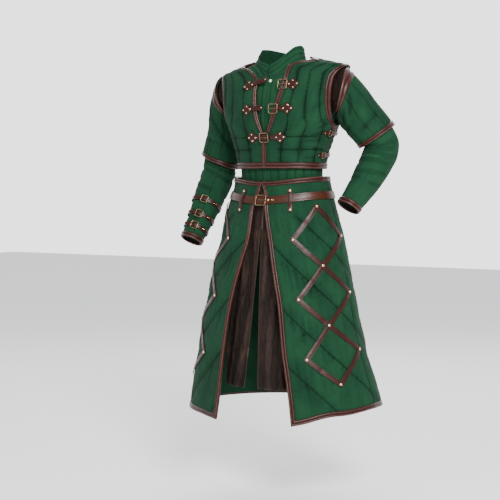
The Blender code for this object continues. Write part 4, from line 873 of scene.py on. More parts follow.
# Drag lines (u, v) to (u, v) in metres from the front edge and the hem: width, depth.
VEST_FOLDS = {
    "left": [(.165, .118, .245, .128, .006, -.0022), (.150, .096, .240, .100, .007, -.0024),
             (.175, .070, .250, .058, .006, -.0020), (.185, .140, .232, .168, .006, -.0020),
             (.140, .038, .235, .030, .007, -.0018), (.160, .155, .205, .190, .007, -.0018),
             (.205, .085, .252, .083, .004, -.0022), (.120, .205, .180, .260, .012, -.0018),
             (.100, .060, .150, .052, .006, -.0014), (.060, .020, .110, .026, .006, -.0012),
             (.195, .112, .250, .114, .005, .0014), (.170, .085, .235, .078, .006, .0016)],
    "right": [(.150, .120, .232, .132, .006, -.0020), (.140, .094, .238, .090, .007, -.0022),
              (.165, .062, .248, .050, .007, -.0020), (.170, .150, .222, .182, .007, -.0020),
              (.110, .200, .170, .262, .012, -.0018), (.090, .052, .150, .058, .006, -.0012),
              (.120, .030, .225, .036, .007, -.0015), (.180, .108, .240, .110, .005, .0014)],
    "back": [(.030, .110, .110, .100, .007, -.0022), (.025, .085, .120, .092, .006, -.0020),
             (.420, .108, .500, .118, .007, -.0022), (.400, .080, .505, .076, .007, -.0020),
             (.150, .060, .260, .052, .008, -.0020), (.270, .044, .390, .052, .008, -.0018),
             (.060, .230, .120, .180, .010, -.0018), (.410, .190, .470, .240, .010, -.0018),
             (.180, .300, .260, .285, .010, -.0014), (.290, .292, .360, .304, .010, -.0014)],
}
vest = {}
for side_name, side in SIDES:
    rows = VEST_FRONTS[side_name]
    vest[side_name] = front_spots([row[:2] for row in rows], VEST_SIDE, 8, side, torso, None,
                                  [row[2] for row in rows])
vest["back"] = back_spots(VEST_SIDE, 14, 0.075, 8, 0.010)
for part, spots in vest.items():
    back = part == "back"
    grid = body_panel(torso, spots, 0.0, VEST_STEP, back)
    away = np.min([np.abs(grid.u - grid.width * share) for share in QUILT_SHARES[back]], 0)
    level = np.min([np.abs(grid.height - line) for line in BELLY_LINES], 0)
    level = level + 0.05 * ease(0.055 - grid.u, 0.03) * (not back)
    inside = ease(np.minimum(grid.u, grid.width - grid.u) - 0.012, 0.016) * ease(grid.v - 0.012, 0.016)
    inside = inside * (ease(grid.length - grid.v - 0.004, 0.012) if not back else 1.0)
    belly = ease(-0.10 - grid.height, 0.05)
    relief = channels(away, VEST_PUFF, 0.0085) - 0.0016
    relief -= 0.0022 * belly * np.exp(-(level / 0.0055) ** 1.3)
    # The sewing gathers the cloth a little: short ripples that run into each line.
    wave = np.sin(grid.v * 2 * math.pi / 0.017 + 3.0 * np.sin(grid.v * 31.0 + grid.u * 40.0))
    relief += 0.00035 * wave * np.exp(-(away / 0.012) ** 2)
    relief += creases(grid, VEST_FOLDS[part]) + 0.0010 * np.sin(grid.u * 61 + 2.1 * np.sin(grid.v * 23))
    relief = relief * inside - 0.0004 * (1 - inside)
    dark = np.minimum(away, np.where(belly > 0.5, level, 1.0))
    shade = np.clip(0.50 + (relief - 0.0006) * 130, 0.25, 1.0) * ease(dark + 0.0006, 0.0034)
    shade = np.where(inside > 0.05, shade, 0.5)
    panel("vest", part, grid, VEST_WALL, relief, shade, GREEN)


def edge_pairs(form, spots, cells, shift):
    """Edge and inner points, and the outward directions, at pairs of places in a panel's coarse spots."""
    edge, inner = (spots[tuple(np.transpose(places))] for places in zip(*cells))
    points, out = on(form, *edge.T, 0.0)
    return points + (0, shift, 0), moved(form, *inner.T, 0.0) + (0, shift, 0), out


def steps(numbers, edge, inner, across=False):
    """Pairs of places up a panel's side, or across it, from its edge line to the line inside it."""
    return [((edge, k), (inner, k)) if across else ((k, edge), (k, inner)) for k in numbers]


for side_name, side in SIDES:
    corner = NECK_CORNER[side_name]
    # Up from the side seam along the hem, then the front edge, then round the neck.
    cells = steps(range(8, 1, -1), 0, 1, True) + [((0, 0), (1, 1))] + steps(range(2, 15), 0, 1)
    bound("vest_binding_" + side_name, *edge_pairs(torso, vest[side_name], cells, -SEAM), VEST_WALL,
          breaks=(7, 7 + corner - 1))
cells = steps(range(15), 0, 1, True)
bound("vest_binding_hem_back", *edge_pairs(torso, vest["back"], cells, SEAM), VEST_WALL)
cells = steps(range(3, 12), 14, 13, True)
bound("vest_binding_neck_back", *edge_pairs(torso, vest["back"], cells, SEAM), VEST_WALL, stretch=0.8)

# ---------------------------------------------------------------------------------------------
# Armholes: the vest's leather edge, then a dark leather gusset set inside it that joins it to
# the half sleeve, whose own head and hem are bound in the same brown leather.
# ---------------------------------------------------------------------------------------------
HALF_SLEEVE_WALL = 0.0060
HALF_SLEEVE_END = 4     # a station down the arm
HALF_HEM = 0.016        # width of its hem's binding
HALF_LINES = (0.02, 0.145, 0.27, 0.40, 0.53, 0.66, 0.78, 0.90)     # its channels, as shares round it
GUSSET_WALL = 0.0018
GUSSET_STEP = 0.0030
GUSSET_GAP = 0.0012     # over the jacket's sleeve
MOUTH_GAP = 0.0003      # in from the armhole's edge
for side_name, side in SIDES:
    top = len(VEST_SIDE) - 1
    low = top - ARMHOLE_STEPS
    cells = steps(range(top, low, -1), -1, -2) + [((low, -1), (low - 1, -1))]
    front = edge_pairs(torso, vest[side_name], cells, 0.0)
    cells = steps(range(low + 1, top), *((0, 1) if side > 0 else (-1, -2)))
    rear = edge_pairs(torso, vest["back"], cells, 0.0)
    loop = [np.concatenate(pair) for pair in zip(front, rear)]
    bound("armhole_binding_" + side_name, *loop, VEST_WALL, True)


# Gusset leather, darker and matt, creased where it is drawn together.
DARK_HIDE = hide("drawn_dark_cowhide", "#1d120e", "#46352c", "#0c0706", 0.45, 1.5, 0.0)
GUSSET_FOLDS = [(0.06, .000, .10, .030, .0045, -.0012), (0.13, .030, .18, .000, .0040, -.0012),
                (0.20, .002, .22, .034, .0045, -.0013), (0.27, .030, .29, .002, .0045, -.0012),
                (0.34, .004, .36, .032, .0040, -.0010), (0.40, .028, .43, .002, .0040, -.0010)]
# Folds of the half sleeves, as the sleeves' own are given.
HALF_FOLDS = {
    "left": [(0.20, .020, 0.34, .075, .011, -.0040), (0.34, .030, 0.44, .100, .012, -.0034),
             (0.10, .130, 0.36, .150, .011, -.0030), (0.30, .105, 0.55, .125, .011, -.0030),
             (0.62, .050, 0.86, .080, .012, -.0030), (0.66, .110, 0.92, .135, .012, -.0026),
             (0.02, .040, 0.12, .100, .014, -.0020), (0.86, .030, 0.97, .095, .014, -.0020),
             (0.14, .060, 0.26, .120, .014, .0024), (0.44, .070, 0.52, .130, .010, -.0024)],
    "right": [(0.12, .030, 0.26, .120, .013, -.0034), (0.26, .050, 0.40, .160, .013, -.0034),
              (0.04, .100, 0.18, .190, .014, -.0026), (0.36, .150, 0.52, .215, .011, -.0028),
              (0.64, .060, 0.84, .130, .013, -.0030), (0.84, .050, 0.97, .150, .014, -.0022),
              (0.18, .175, 0.42, .200, .010, -.0026), (0.20, .090, 0.32, .180, .012, .0022)],
}
for side_name, side in SIDES:
    rings = sleeve_rings(side_name, side, [0, HEAD], [GUSSET_GAP + GUSSET_WALL] * 2, -VEST_WALL - 0.0021,
                         MOUTH_GAP)
    grid = point_grid(rings, GUSSET_STEP, True, side)
    folds = creases(grid, GUSSET_FOLDS) * ease(grid.v, 0.004) * ease(grid.length - grid.v, 0.004)
    shell("shoulder_gusset_" + side_name, grid, GUSSET_WALL, folds - 0.0001,
          np.clip(0.5 + folds * 260, 0.1, 0.8), DARK_HIDE, side, "stretched", "brown_leather")

    hem = station_before(side_name, HALF_SLEEVE_END, HALF_HEM)
    stations = [0, HEAD, 1, 2, 3, hem, HALF_SLEEVE_END]
    lifts = [sizes[1] - sizes[0] for sizes in (arm_at(side_name, station)[4] for station in stations)]
    rings = sleeve_rings(side_name, side, stations, lifts, None, None)
    grid = point_grid(rings, SLEEVE_STEP, True, side)
    folds = arm_folds(grid, HALF_FOLDS[side_name], 0.5)
    away = [np.abs((grid.u / grid.width - line + 0.5) % 1 - 0.5) for line in HALF_LINES]
    away = np.min(away, 0) * grid.width
    soft = ease(grid.v - 0.014, 0.012) * ease(grid.length - grid.v - 0.012, 0.012)
    relief = (channels(away, 0.0020, 0.0075) - 0.0010 + folds) * soft - 0.0004 * (1 - soft)
    shade = np.clip(0.55 + (relief - 0.0002) * 110, 0.22, 1.0) * ease(away + 0.0006, 0.003)
    shade = np.where(soft > 0.03, shade, 0.5)
    shell("half_sleeve_" + side_name, grid, HALF_SLEEVE_WALL, relief, shade, GREEN, side)
    for end, first, second in (("top", 0, 1), ("hem", -1, -2)):
        edge, inner = (arm_ring(side_name, stations[k], lifts[k], 36) for k in (first, second))
        bound(f"half_sleeve_{end}_binding_{side_name}", edge, inner,
              edge - arm_at(side_name, stations[first])[0], HALF_SLEEVE_WALL, True)

# ---------------------------------------------------------------------------------------------
# The vest's three closures: on the right front a leather strap with a lily-shaped end, on the left
# a matching tab that holds a cast buckle. Each end is held by four domed rivets in a diamond; only
# the lowest pair is buckled, and the upper two hang open.
# ---------------------------------------------------------------------------------------------
STRAP_HALF = 0.0082
STRAP_THICK = 0.0024
LILY_LIFT = 0.0030
CLOSURE_BUCKLE = 0.037, 0.036, 0.0019       # width, height and the bar's radius
BUCKLE_LIFT = 0.0088
SMALL_RIVET, LILY_RIVET = 0.0026, 0.0031   # radii
# height, strap from and to, its drop, buckle's turn, tab from and to, in degrees of turn
CLOSURES = [(-0.026, -36.5, 4.5, -0.022, 29.0, 35.0, 48.0), (-0.108, -32.5, 1.5, -0.006, 17.5, 25.0, 42.0),
            (-0.206, -26.5, 9.5, 0.000, 2.5, 12.5, 34.0)]
# The lily-shaped end: distance from its tip, half width
LILY = [(0.000, 0.0010), (0.002, 0.0044), (0.005, 0.0074), (0.008, 0.0090), (0.0105, 0.0104),
        (0.012, 0.0142), (0.0145, 0.0182), (0.018, 0.0202), (0.022, 0.0200), (0.026, 0.0182),
        (0.029, 0.0146), (0.032, 0.0108), (0.036, 0.0086)]
# A flat strap's section: share of half width, height in strap thicknesses, shade. Its edges are
# creased and burnished, and its face is slightly domed. The shade paints a highlight on the rounded
# edges and shade down in the creases.
FLAT_SIDE = [(0.96, 0.0, 0.3), (1.0, 0.45, 0.5), (0.95, 0.95, 0.9), (0.84, 1.0, 0.7), (0.76, 0.88, 0.1),
             (0.66, 1.02, 0.6), (0.3, 1.14, 0.6)]
FLAT_PROFILE = [(-a, b, c) for a, b, c in FLAT_SIDE] + [(0.0, 1.18, 0.6)] + FLAT_SIDE[::-1]
RIVET_DIAMOND = ((0.0075, 0.0), (0.0195, 0.0115), (0.0195, -0.0115), (0.0335, 0.0))    # from its tip, up
rivets = {"brass": [], "dark": []}      # (place, outward direction, radius)


def rivet(kind, form, height, turn, lift, radius):
    """Leaves a place on a form for the rivet section."""
    rivets[kind].append((*on(form, height, turn, lift), radius))


def flat_strap(name, points, outs, halves, material, thick, *replaced, slot="brown_leather", closed=False):
    """A flat leather strap along points, with outward directions and half widths."""
    outs = unit(outs)
    halves = np.broadcast_to(np.asarray(halves, float), len(points))[:, None]
    if closed:
        along = unit(np.roll(points, -1, 0) - np.roll(points, 1, 0))
    else:
        along = unit(np.gradient(points, axis=0))
    aside = unit(np.cross(outs, along))
    rings = [points + aside * halves * share + outs * height * thick for share, height, _ in FLAT_PROFILE]
    made = loft(name, np.stack(rings, 1), material, closed, [row[2] for row in FLAT_PROFILE])
    return fixed(made, slot, *replaced)


# Cast bronze, blackened and rubbed back: dark in its corners, warm and pale where it is handled.
BRONZE, tree = finish("blackened_cast_bronze", metallic=1.0)
patch = noise(tree, add(tree, "ShaderNodeTexCoord").outputs["Object"], 130.0, 5.0, 0.7)
set_shader(tree, base_color=mixed(tree, ranged(tree, patch, 0.38, 0.66), "#4a3a2d", "#a58a69"),
           roughness=ranged(tree, patch, to_min=0.55, to_max=0.24),
           normal=bumped(tree, patch, 0.25, 0.0005))


def rod(name, points, radius, material, closed=False, flat=1.0, out=None, sides=10):
    """A round bar along points; flat squashes it along the outward direction."""
    points = np.asarray(points, float)
    along = (np.roll(points, -1, 0) - np.roll(points, 1, 0)) if closed else np.gradient(points, axis=0)
    along = unit(along)
    out = np.broadcast_to(np.asarray(out, float), points.shape)
    across = unit(np.cross(out, along))
    out = unit(np.cross(along, across))
    angle = np.linspace(0, 2 * math.pi, sides, endpoint=False)
    radius = np.broadcast_to(np.asarray(radius, float), len(points))[:, None]
    rings = [points + across * radius * math.cos(a) + out * radius * flat * math.sin(a) for a in angle]
    return loft(name, np.stack(rings, 1), material, closed)


def buckle(name, middle, right, up, width, height, radius, prong_from=-1):
    """A rectangular buckle of round bar with eased corners, and its prong over the open bar."""
    right, up = unit(right), unit(up)
    out = np.cross(right, up)
    corner = radius * 2.2
    w, h = width / 2 - radius, height / 2 - radius
    points = []
    for sx, sy, first in ((1, 1, 0), (-1, 1, 90), (-1, -1, 180), (1, -1, 270)):
        for k in range(5):
            a = math.radians(first + 22.5 * k)
            points.append(middle + right * (sx * (w - corner) + corner * math.cos(a))
                          + up * (sy * (h - corner) + corner * math.sin(a)))
    # The frame is a round bar, a little flattened; the prong is lifted most over its middle.
    frame_bar = rod(name + "_frame", points, radius, BRONZE, True, 0.85, out)
    reach = np.linspace(-1, 1, 9)
    lift = radius * (1.15 + 0.5 * np.cos(reach * math.pi / 2) ** 2)
    lift[0] = radius * 1.2
    way = right * -prong_from
    spine = middle + np.outer(reach * (w + radius * 0.6), way) + np.outer(lift, out)
    prong = rod(name + "_prong", spine, radius * np.linspace(0.72, 0.40, 9), BRONZE, False, 0.9, out)
    eye = [middle + right * prong_from * w + (out * math.cos(a) + way * math.sin(a)) * radius * 1.5
           for a in np.linspace(0, 2 * math.pi, 12, endpoint=False)]
    eye = rod(name + "_eye", eye, radius * 0.62, BRONZE, True, 1.0, up, 6)
    fixed(frame_bar, "antique_bronze", name)
    for piece in (prong, eye):
        fixed(piece, "antique_bronze")


def stood(form, height, turn, lift):
    """The middle of a buckle lifted off a form, the ways to its right and up, and outwards."""
    middle, out = on(form, height, turn, lift)
    right = -unit(np.cross((0, 0, 1), out))
    return middle, right, np.cross(out, right), out


for number, (height, s_from, s_to, drop, b_turn, t_from, t_to) in enumerate(CLOSURES, 1):
    for part, start, end, fall in (("strap", s_from, s_to, drop), ("tab", t_to, t_from, 0.0)):
        reach = float(np.linalg.norm(surface(torso, height, (start + end) / 2)[:2]))
        length = abs(end - start) * math.radians(1) * reach
        distances = [d for d, _ in LILY if d < length - 0.002]
        halves = [w for d, w in LILY if d < length - 0.002]
        more = length - distances[-1]
        more = np.linspace(distances[-1], length, max(2, int(more / 0.004)))[1:]
        distances += list(more)
        halves += [STRAP_HALF] * len(more)
        if part == "strap":
            # The free end swells and runs to a blunt point.
            halves[-6:] = [STRAP_HALF * share for share in (1.10, 1.22, 1.30, 1.15, 0.75, 0.30)]
        share = np.asarray(distances) / length
        # Over the channels at the lily end, up over the bound edge, and out beyond it.
        rise = LILY_LIFT + 0.0016 * ease(np.asarray(distances) - 0.035, 0.02)
        points, outs = on(torso, height - fall * share, start + (end - start) * share, rise)
        if part == "strap" and number < 3:
            points += outs * ease(share - 0.80, 0.25)[:, None] * 0.0040
            tip = int(np.searchsorted(share, 0.90))
            rivets["brass"].append((points[tip] + outs[tip] * STRAP_THICK, outs[tip], SMALL_RIVET))
        name = f"closure_{part}_{number}"
        flat_strap(name + "_leather", points, outs, halves, BROWN, STRAP_THICK, name)
        # Four rivets in a diamond on the lily.
        degree = math.radians(1) * reach
        way = 1 if end > start else -1
        for d, rise_by in RIVET_DIAMOND:
            rivet("brass", torso, height - fall * d / length + rise_by, start + way * d / degree,
                  LILY_LIFT + STRAP_THICK, LILY_RIVET)
    buckle(f"closure_buckle_{number}", *stood(torso, height, b_turn, BUCKLE_LIFT)[:3], *CLOSURE_BUCKLE,
           prong_from=-1 if number == 3 else 1)

# ---------------------------------------------------------------------------------------------
# Side straps: two short leather straps over each side seam below the armhole, each drawn through
# a small buckle and riveted at its far end. They take in the vest's waist.
# ---------------------------------------------------------------------------------------------
SIDE_LIFT = 0.0024
SIDE_POINTS = 22
SIDE_RIVETS = (77.5, 106.0, 109.5)      # turns
# place, height, and the turns it runs from and to
SIDE_STRAPS = [("upper", -0.192, 74.0, 112.0), ("lower", -0.268, 76.0, 112.0)]


def tapered(count, half, *tip):
    """Half widths of a strap that narrows to its tip over the last points."""
    halves = np.full(count, half)
    halves[-len(tip):] = tip
    return halves


for side_name, side in SIDES:
    for part, height, start, end in SIDE_STRAPS:
        turns = np.linspace(start, end, SIDE_POINTS) * side
        halves = tapered(SIDE_POINTS, STRAP_HALF, 0.0062, 0.0052, 0.0030)[::-1]
        name = f"side_strap_{part}_{side_name}"
        lift = SIDE_LIFT + 0.0016 * np.exp(-((np.abs(turns) - 84) / 4.0) ** 2)
        flat_strap(name + "_leather", *on(torso, height, turns, lift), halves, BROWN, STRAP_THICK, name)
        middle, right, up, out = stood(torso, height, 85.0 * side, 0.0066)
        w, h = 0.0085, 0.0110
        points = [middle + right * w * math.copysign(abs(math.cos(a)) ** 0.45, math.cos(a))
                  + up * h * math.copysign(abs(math.sin(a)) ** 0.45, math.sin(a))
                  for a in np.linspace(0, 2 * math.pi, 28, endpoint=False)]
        tongue = [middle - right * w * s * side + out * 0.0016 for s in np.linspace(-1, 1.05, 6)]
        fixed(rod(name + "_buckle", points, 0.0014, BRONZE, True, 0.9, out, 8), "antique_bronze")
        fixed(rod(name + "_prong", tongue, 0.0010, BRONZE, False, 1.0, out, 6), "antique_bronze")
        for turn in SIDE_RIVETS:
            rivet("dark", torso, height, turn * side, SIDE_LIFT + STRAP_THICK, 0.0022)

# ---------------------------------------------------------------------------------------------
# Three leather straps round the right forearm, each closed by a small bronze buckle on the side
# that faces forwards, with its riveted tip lying free beyond it.
# ---------------------------------------------------------------------------------------------
# station and width
FOREARM_STRAPS = [(8.20, 0.016), (9.25, 0.016), (10.15, 0.015)]
BUCKLE_SIDE = unit(np.array([0.30, -0.95, 0.0]))
FOREARM_BUCKLE = 0.028, 0.030, 0.0016
for number, (station, width) in enumerate(FOREARM_STRAPS, 1):
    centre, along, _, _, (radius, *_) = arm_at("right", station)
    ring = arm_ring("right", station, 0.0016, 72)
    flat_strap(f"forearm_strap_{number}_leather", ring, ring - centre, width / 2, BROWN, 0.0022,
               f"forearm_strap_{number}", closed=True)
    out = unit(BUCKLE_SIDE - along * BUCKLE_SIDE.dot(along))
    across = unit(np.cross(out, along))
    middle = centre + out * (radius + 0.0062)
    buckle(f"forearm_buckle_{number}", middle, across, along, *FOREARM_BUCKLE, prong_from=1)
    # The free end: through the buckle, then curling a little off the arm.
    bend = np.linspace(-0.35, 0.85, 16)
    way = out[None] * np.cos(bend)[:, None] - across[None] * np.sin(bend)[:, None]
    off = radius + 0.0042 + 0.0050 * ease(bend - 0.45, 0.5)
    halves = tapered(16, width / 2 * 0.92, 0.0068, 0.0060, 0.0046, 0.0020)
    flat_strap(f"forearm_tip_{number}", centre + way * off[:, None], way, halves, BROWN, 0.0020)
    for turn in (0.62, -0.72, -0.86):
        way = out * math.cos(turn) - across * math.sin(turn)
        kind, lift = ("brass", 0.0062) if turn > 0 else ("dark", 0.0040)
        rivets[kind].append((centre + way * (radius + lift), way, 0.0021))

# ---------------------------------------------------------------------------------------------
# The skirt: two fronts that fall open and a wide back, of canvas over thick wadding, quilted in
# large diamonds, bound in leather at the waist, down the fronts and round the hem. It flares in
# soft flutes, and the left front comes past the centre line at the waist.
# ---------------------------------------------------------------------------------------------
SKIRT_WALL = 0.0070
SKIRT_EDGE = 0.017
SKIRT = [(-0.340, 0.181, 0.132, 0.130, 0.000), (-0.400, 0.192, 0.138, 0.136, 0.002),
         (-0.440, 0.204, 0.148, 0.150, 0.000), (-0.515, 0.223, 0.165, 0.172, 0.000),
         (-0.580, 0.236, 0.180, 0.190, 0.000), (-0.655, 0.252, 0.197, 0.207, -0.002),
         (-0.740, 0.271, 0.214, 0.222, -0.002), (-0.835, 0.288, 0.231, 0.238, -0.002),
         (-0.930, 0.307, 0.247, 0.252, 0.000), (-1.000, 0.322, 0.259, 0.263, 0.004),
         (-1.100, 0.345, 0.276, 0.280, 0.013), (-1.200, 0.367, 0.290, 0.294, 0.020)]
FLUTES = [(22, 16, 0.006), (58, 20, -0.009), (96, 17, 0.010), (128, 18, -0.009), (158, 15, 0.008),
          (190, 17, -0.008), (222, 16, 0.010), (256, 18, -0.007), (292, 17, 0.009), (322, 14, -0.006)]
SKIRT_LEVELS = (-1.200, -1.183, -1.110, -1.030, -0.950, -0.870, -0.790, -0.710, -0.635, -0.565,
                -0.500, -0.450, -0.405, -0.362, -0.345)
# height, and the turn of the left and the right front's free edge
SKIRT_FRONTS = [(-0.345, -1.8, 2.2), (-0.362, -1.6, 2.6), (-0.405, 5.0, 7.0), (-0.450, 7.0, 10.5),
                (-0.565, 16.0, 10.5), (-0.675, 22.5, 16.3), (-0.817, 28.7, 21.0), (-0.970, 31.2, 22.6),
                (-1.082, 32.8, 24.2), (-1.200, 33.6, 26.8)]
FRONT_DIP = 0.020       # the waist's edge is this much lower at centre front
HEM_RISE = [(0, 0.0), (30, 0.0), (63, 0.032), (90, 0.046), (130, 0.038), (180, 0.026), (230, 0.020),
            (270, 0.020), (310, 0.009), (335, 0.0), (360, 0.0)]
QUILT_SLOPE = 0.84      # of the diamonds' stitched lines
QUILT_DROP = 0.166      # between lines, down the cloth
QUILT_FIRST = -0.520
SKIRT_PUFF = 0.0050
PUCKER_WIDER = 1.35
SKIRT_STEPS = 0.0033, 0.0044     # on a front, and on the back

skirt_form = form_of(SKIRT, 2.0, FLUTES, -0.50, -1.20)


def skirt_drop(height, turn):
    """How far the skirt's level lines drop: the waist at centre front, less the hem's rise."""
    near_top = np.clip((height + 0.450) / 0.105, 0, 1)
    near_hem = np.clip((-0.50 - height) / 0.70, 0, 1) ** 1.5
    turn = np.asarray(turn) % 360
    at = np.array([row[0] for row in HEM_RISE], float)
    rise = np.array([row[1] for row in HEM_RISE])
    low = np.clip(np.searchsorted(at, turn, side="right") - 1, 0, len(at) - 2)
    share = (turn - at[low]) / (at[low + 1] - at[low])
    lifted = rise[low] + (rise[low + 1] - rise[low]) * share * share * (3 - 2 * share)
    return FRONT_DIP * near_top * np.maximum(np.cos(np.radians(turn)), 0) ** 2 - lifted * near_hem


skirt = {}
for column, (side_name, side) in enumerate(SIDES, 1):
    inner = [(height, float(smooth(SKIRT_FRONTS, height, column))) for height in SKIRT_LEVELS]
    # Each free edge's turn is measured from centre front to that front's own side.
    skirt[side_name] = front_spots(inner, [(height, 90.0) for height in SKIRT_LEVELS], 10, side, skirt_form,
                                   skirt_drop, [SKIRT_EDGE] * len(SKIRT_LEVELS), 0.030)
turns = 90 + 180 * np.arange(17) / 16
skirt["back"] = np.array([[(height - float(skirt_drop(height, turn)), turn) for turn in turns]
                          for height in SKIRT_LEVELS])
# Upright puckers under the slanting lines, as (u, v) from the free edge and the hem: width, depth.
SKIRT_FOLDS = {
    "left": [(.034, .566, .040, .470, .0045, -.0042), (.050, .556, .058, .438, .0050, -.0046),
             (.062, .548, .064, .500, .0040, .0024), (.076, .540, .080, .446, .0045, -.0040),
             (.096, .524, .102, .456, .0050, -.0036), (.118, .506, .118, .408, .0050, -.0044),
             (.134, .498, .142, .436, .0045, -.0032), (.156, .478, .160, .420, .0050, -.0034),
             (.038, .404, .046, .300, .0050, -.0044), (.056, .392, .060, .322, .0045, -.0034),
             (.074, .372, .080, .252, .0050, -.0046), (.088, .362, .090, .300, .0040, .0022),
             (.100, .352, .108, .270, .0050, -.0040), (.128, .332, .126, .262, .0045, -.0034),
             (.150, .312, .158, .236, .0050, -.0036), (.042, .222, .048, .140, .0050, -.0040),
             (.064, .206, .072, .096, .0055, -.0042), (.092, .184, .094, .120, .0045, -.0034),
             (.122, .160, .130, .086, .0050, -.0034), (.160, .134, .164, .070, .0050, -.0028),
             (.030, .706, .042, .640, .0060, -.0040), (.052, .712, .060, .622, .0050, -.0040),
             (.078, .700, .074, .636, .0050, -.0036), (.104, .676, .112, .596, .0055, -.0040),
             (.136, .654, .140, .586, .0050, -.0034), (.090, .762, .102, .716, .0060, -.0034),
             (.196, .440, .204, .356, .0060, -.0030), (.232, .264, .230, .190, .0060, -.0026),
             (.196, .604, .208, .530, .0060, -.0030), (.236, .420, .238, .350, .0050, -.0024),
             (.290, .470, .298, .390, .0070, -.0026), (.306, .250, .312, .160, .0070, -.0024)],
    "right": [(.036, .560, .044, .470, .0050, -.0040), (.060, .590, .066, .486, .0050, -.0040),
              (.086, .574, .084, .506, .0050, -.0034), (.052, .386, .060, .286, .0050, -.0042),
              (.082, .420, .090, .330, .0050, -.0038), (.112, .436, .112, .360, .0045, -.0032),
              (.152, .484, .148, .404, .0060, -.0030), (.060, .200, .068, .110, .0055, -.0038),
              (.092, .226, .098, .150, .0050, -.0034), (.130, .250, .128, .160, .0060, -.0030),
              (.050, .720, .056, .640, .0055, -.0038), (.084, .700, .090, .620, .0050, -.0036),
              (.160, .670, .168, .586, .0060, -.0032), (.210, .310, .216, .220, .0060, -.0030),
              (.240, .570, .246, .490, .0070, -.0028)],
}
back_folds = [(.06 + .088 * k + .03 * math.sin(2.3 * k), .50 + .16 * math.sin(1.7 * k),
               .064 + .088 * k + .03 * math.sin(2.3 * k), .42 + .16 * math.sin(1.7 * k), .006, -.0034)
              for k in range(11)]
SKIRT_FOLDS["back"] = back_folds + [(a + .04, b - .28, c + .036, d - .29, width, depth)
                                    for a, b, c, d, width, depth in back_folds]


def skirt_relief(height, turn):
    """The diamonds' rise at a height and turn, and the distance to the nearest stitched line."""
    away = np.abs((np.asarray(turn) + 180) % 360 - 180)
    reach = np.radians(away) * (0.21 + 0.20 * np.clip(-0.58 - height, -0.2, 0.7))
    falling = (height + QUILT_SLOPE * reach - QUILT_FIRST) / QUILT_DROP
    rising = (height - QUILT_SLOPE * reach - QUILT_FIRST) / QUILT_DROP + 0.45
    steep = QUILT_DROP / math.hypot(1, QUILT_SLOPE)
    one = np.abs(falling - np.round(falling)) * steep
    other = np.abs(rising - np.round(rising)) * steep
    gather = 0.0006 * np.sin(rising * 2 * math.pi * QUILT_DROP / 0.030 + 2 * np.sin(falling * 9)) \
        * np.exp(-(one / 0.020) ** 2)
    gather = gather + 0.0005 * np.sin(falling * 2 * math.pi * QUILT_DROP / 0.032 + 2 * np.sin(rising * 8)) \
        * np.exp(-(other / 0.018) ** 2)
    # Each band of wadding bellies out over the line below it and starts flat under the line above.
    above = falling > np.round(falling)
    puffed = channels(one, SKIRT_PUFF, np.where(above, 0.011, 0.030))
    puffed = puffed + channels(other, SKIRT_PUFF * 0.35, 0.014) - 0.0030
    return puffed + gather, np.minimum(one, other + 0.0026)


for part, spots in skirt.items():
    back = part == "back"
    grid = body_panel(skirt_form, spots, 0.0, SKIRT_STEPS[back], back)
    rise, line = skirt_relief(grid.height, grid.turn)
    free = grid.u if not back else np.full_like(grid.u, 1.0)
    inside = (ease(free - 0.010, 0.016) * ease(grid.v - 0.010, 0.016)
              * ease(grid.length - grid.v - 0.010, 0.016))
    seam = grid.width - grid.u if not back else np.minimum(grid.u, grid.width - grid.u)
    slack = 0.0012 * np.sin(grid.u * 44 + 2.0 * np.sin(grid.v * 13)) * np.sin(grid.v * 17 + 3 * grid.u)
    quilted = ease(-0.455 - grid.height, 0.05)
    gathers = creases(grid, [(*row[:4], row[4] * PUCKER_WIDER, row[5]) for row in SKIRT_FOLDS[part]])
    gathers *= ease(line - 0.0015, 0.008)
    relief = rise * (0.25 + 0.75 * quilted) + gathers + slack
    relief = relief * inside * ease(seam, 0.010) - 0.0004 * (1 - inside) - 0.0012 * (1 - ease(seam, 0.006))
    shade = np.clip(0.55 + (relief - gathers) * 70 + gathers * 60, 0.20, 1.0)
    shade *= 1 - quilted * (1 - ease(line + 0.0004, 0.0042))
    shade = np.where(inside > 0.05, np.maximum(shade, 0.02), 0.5) * (0.4 + 0.6 * ease(seam, 0.004))
    panel("skirt", part, grid, SKIRT_WALL, relief, shade, GREEN)

TOP = len(SKIRT_LEVELS) - 1
for side_name, side in SIDES:
    cells = steps(range(10, 1, -1), 0, 1, True) + [((0, 0), (1, 1))] + steps(range(2, TOP - 1), 0, 1)
    cells += [((TOP, 0), (TOP - 1, 1))] + steps(range(2, 11), TOP, TOP - 1, True)
    bound("skirt_binding_" + side_name, *edge_pairs(skirt_form, skirt[side_name], cells, -SEAM), SKIRT_WALL,
          breaks=(9, 9 + TOP - 2))
for end, edge, inner in (("hem", 0, 1), ("top", TOP, TOP - 1)):
    cells = steps(range(17), edge, inner, True)
    bound(f"skirt_binding_{end}_back", *edge_pairs(skirt_form, skirt["back"], cells, SEAM), SKIRT_WALL)

# ---------------------------------------------------------------------------------------------
# The lattice: flat leather straps laid on each skirt front as three stacked diamonds, lapped and
# held at every joint by a domed brass rivet.
# ---------------------------------------------------------------------------------------------
LATTICE_HALF = 0.0090
LATTICE_OVER = 0.0080    # each strap runs this far past its joints
LATTICE_POINTS = 34
LATTICE_THICK = 0.0020
LATTICE_LIFT = 0.0022
LAP = 0.0010            # every second strap is laid over its neighbours' ends
# height and turn of the joints down the middle, along the front and along the side
LATTICE = {"middle": [(-0.450, 68.5), (-0.656, 67.3), (-0.862, 66.8), (-1.064, 68.0)],
           "front": [(-0.566, 42.0), (-0.772, 44.8), (-0.978, 48.0)],
           "side": [(-0.555, 92.0), (-0.752, 89.5), (-0.952, 88.5)]}


def ribbon_lift(height, turn):
    """A lattice strap follows the wadding under it, pressing it down a little."""
    return LATTICE_LIFT + np.maximum(skirt_relief(height, turn)[0], -0.001) * 0.7


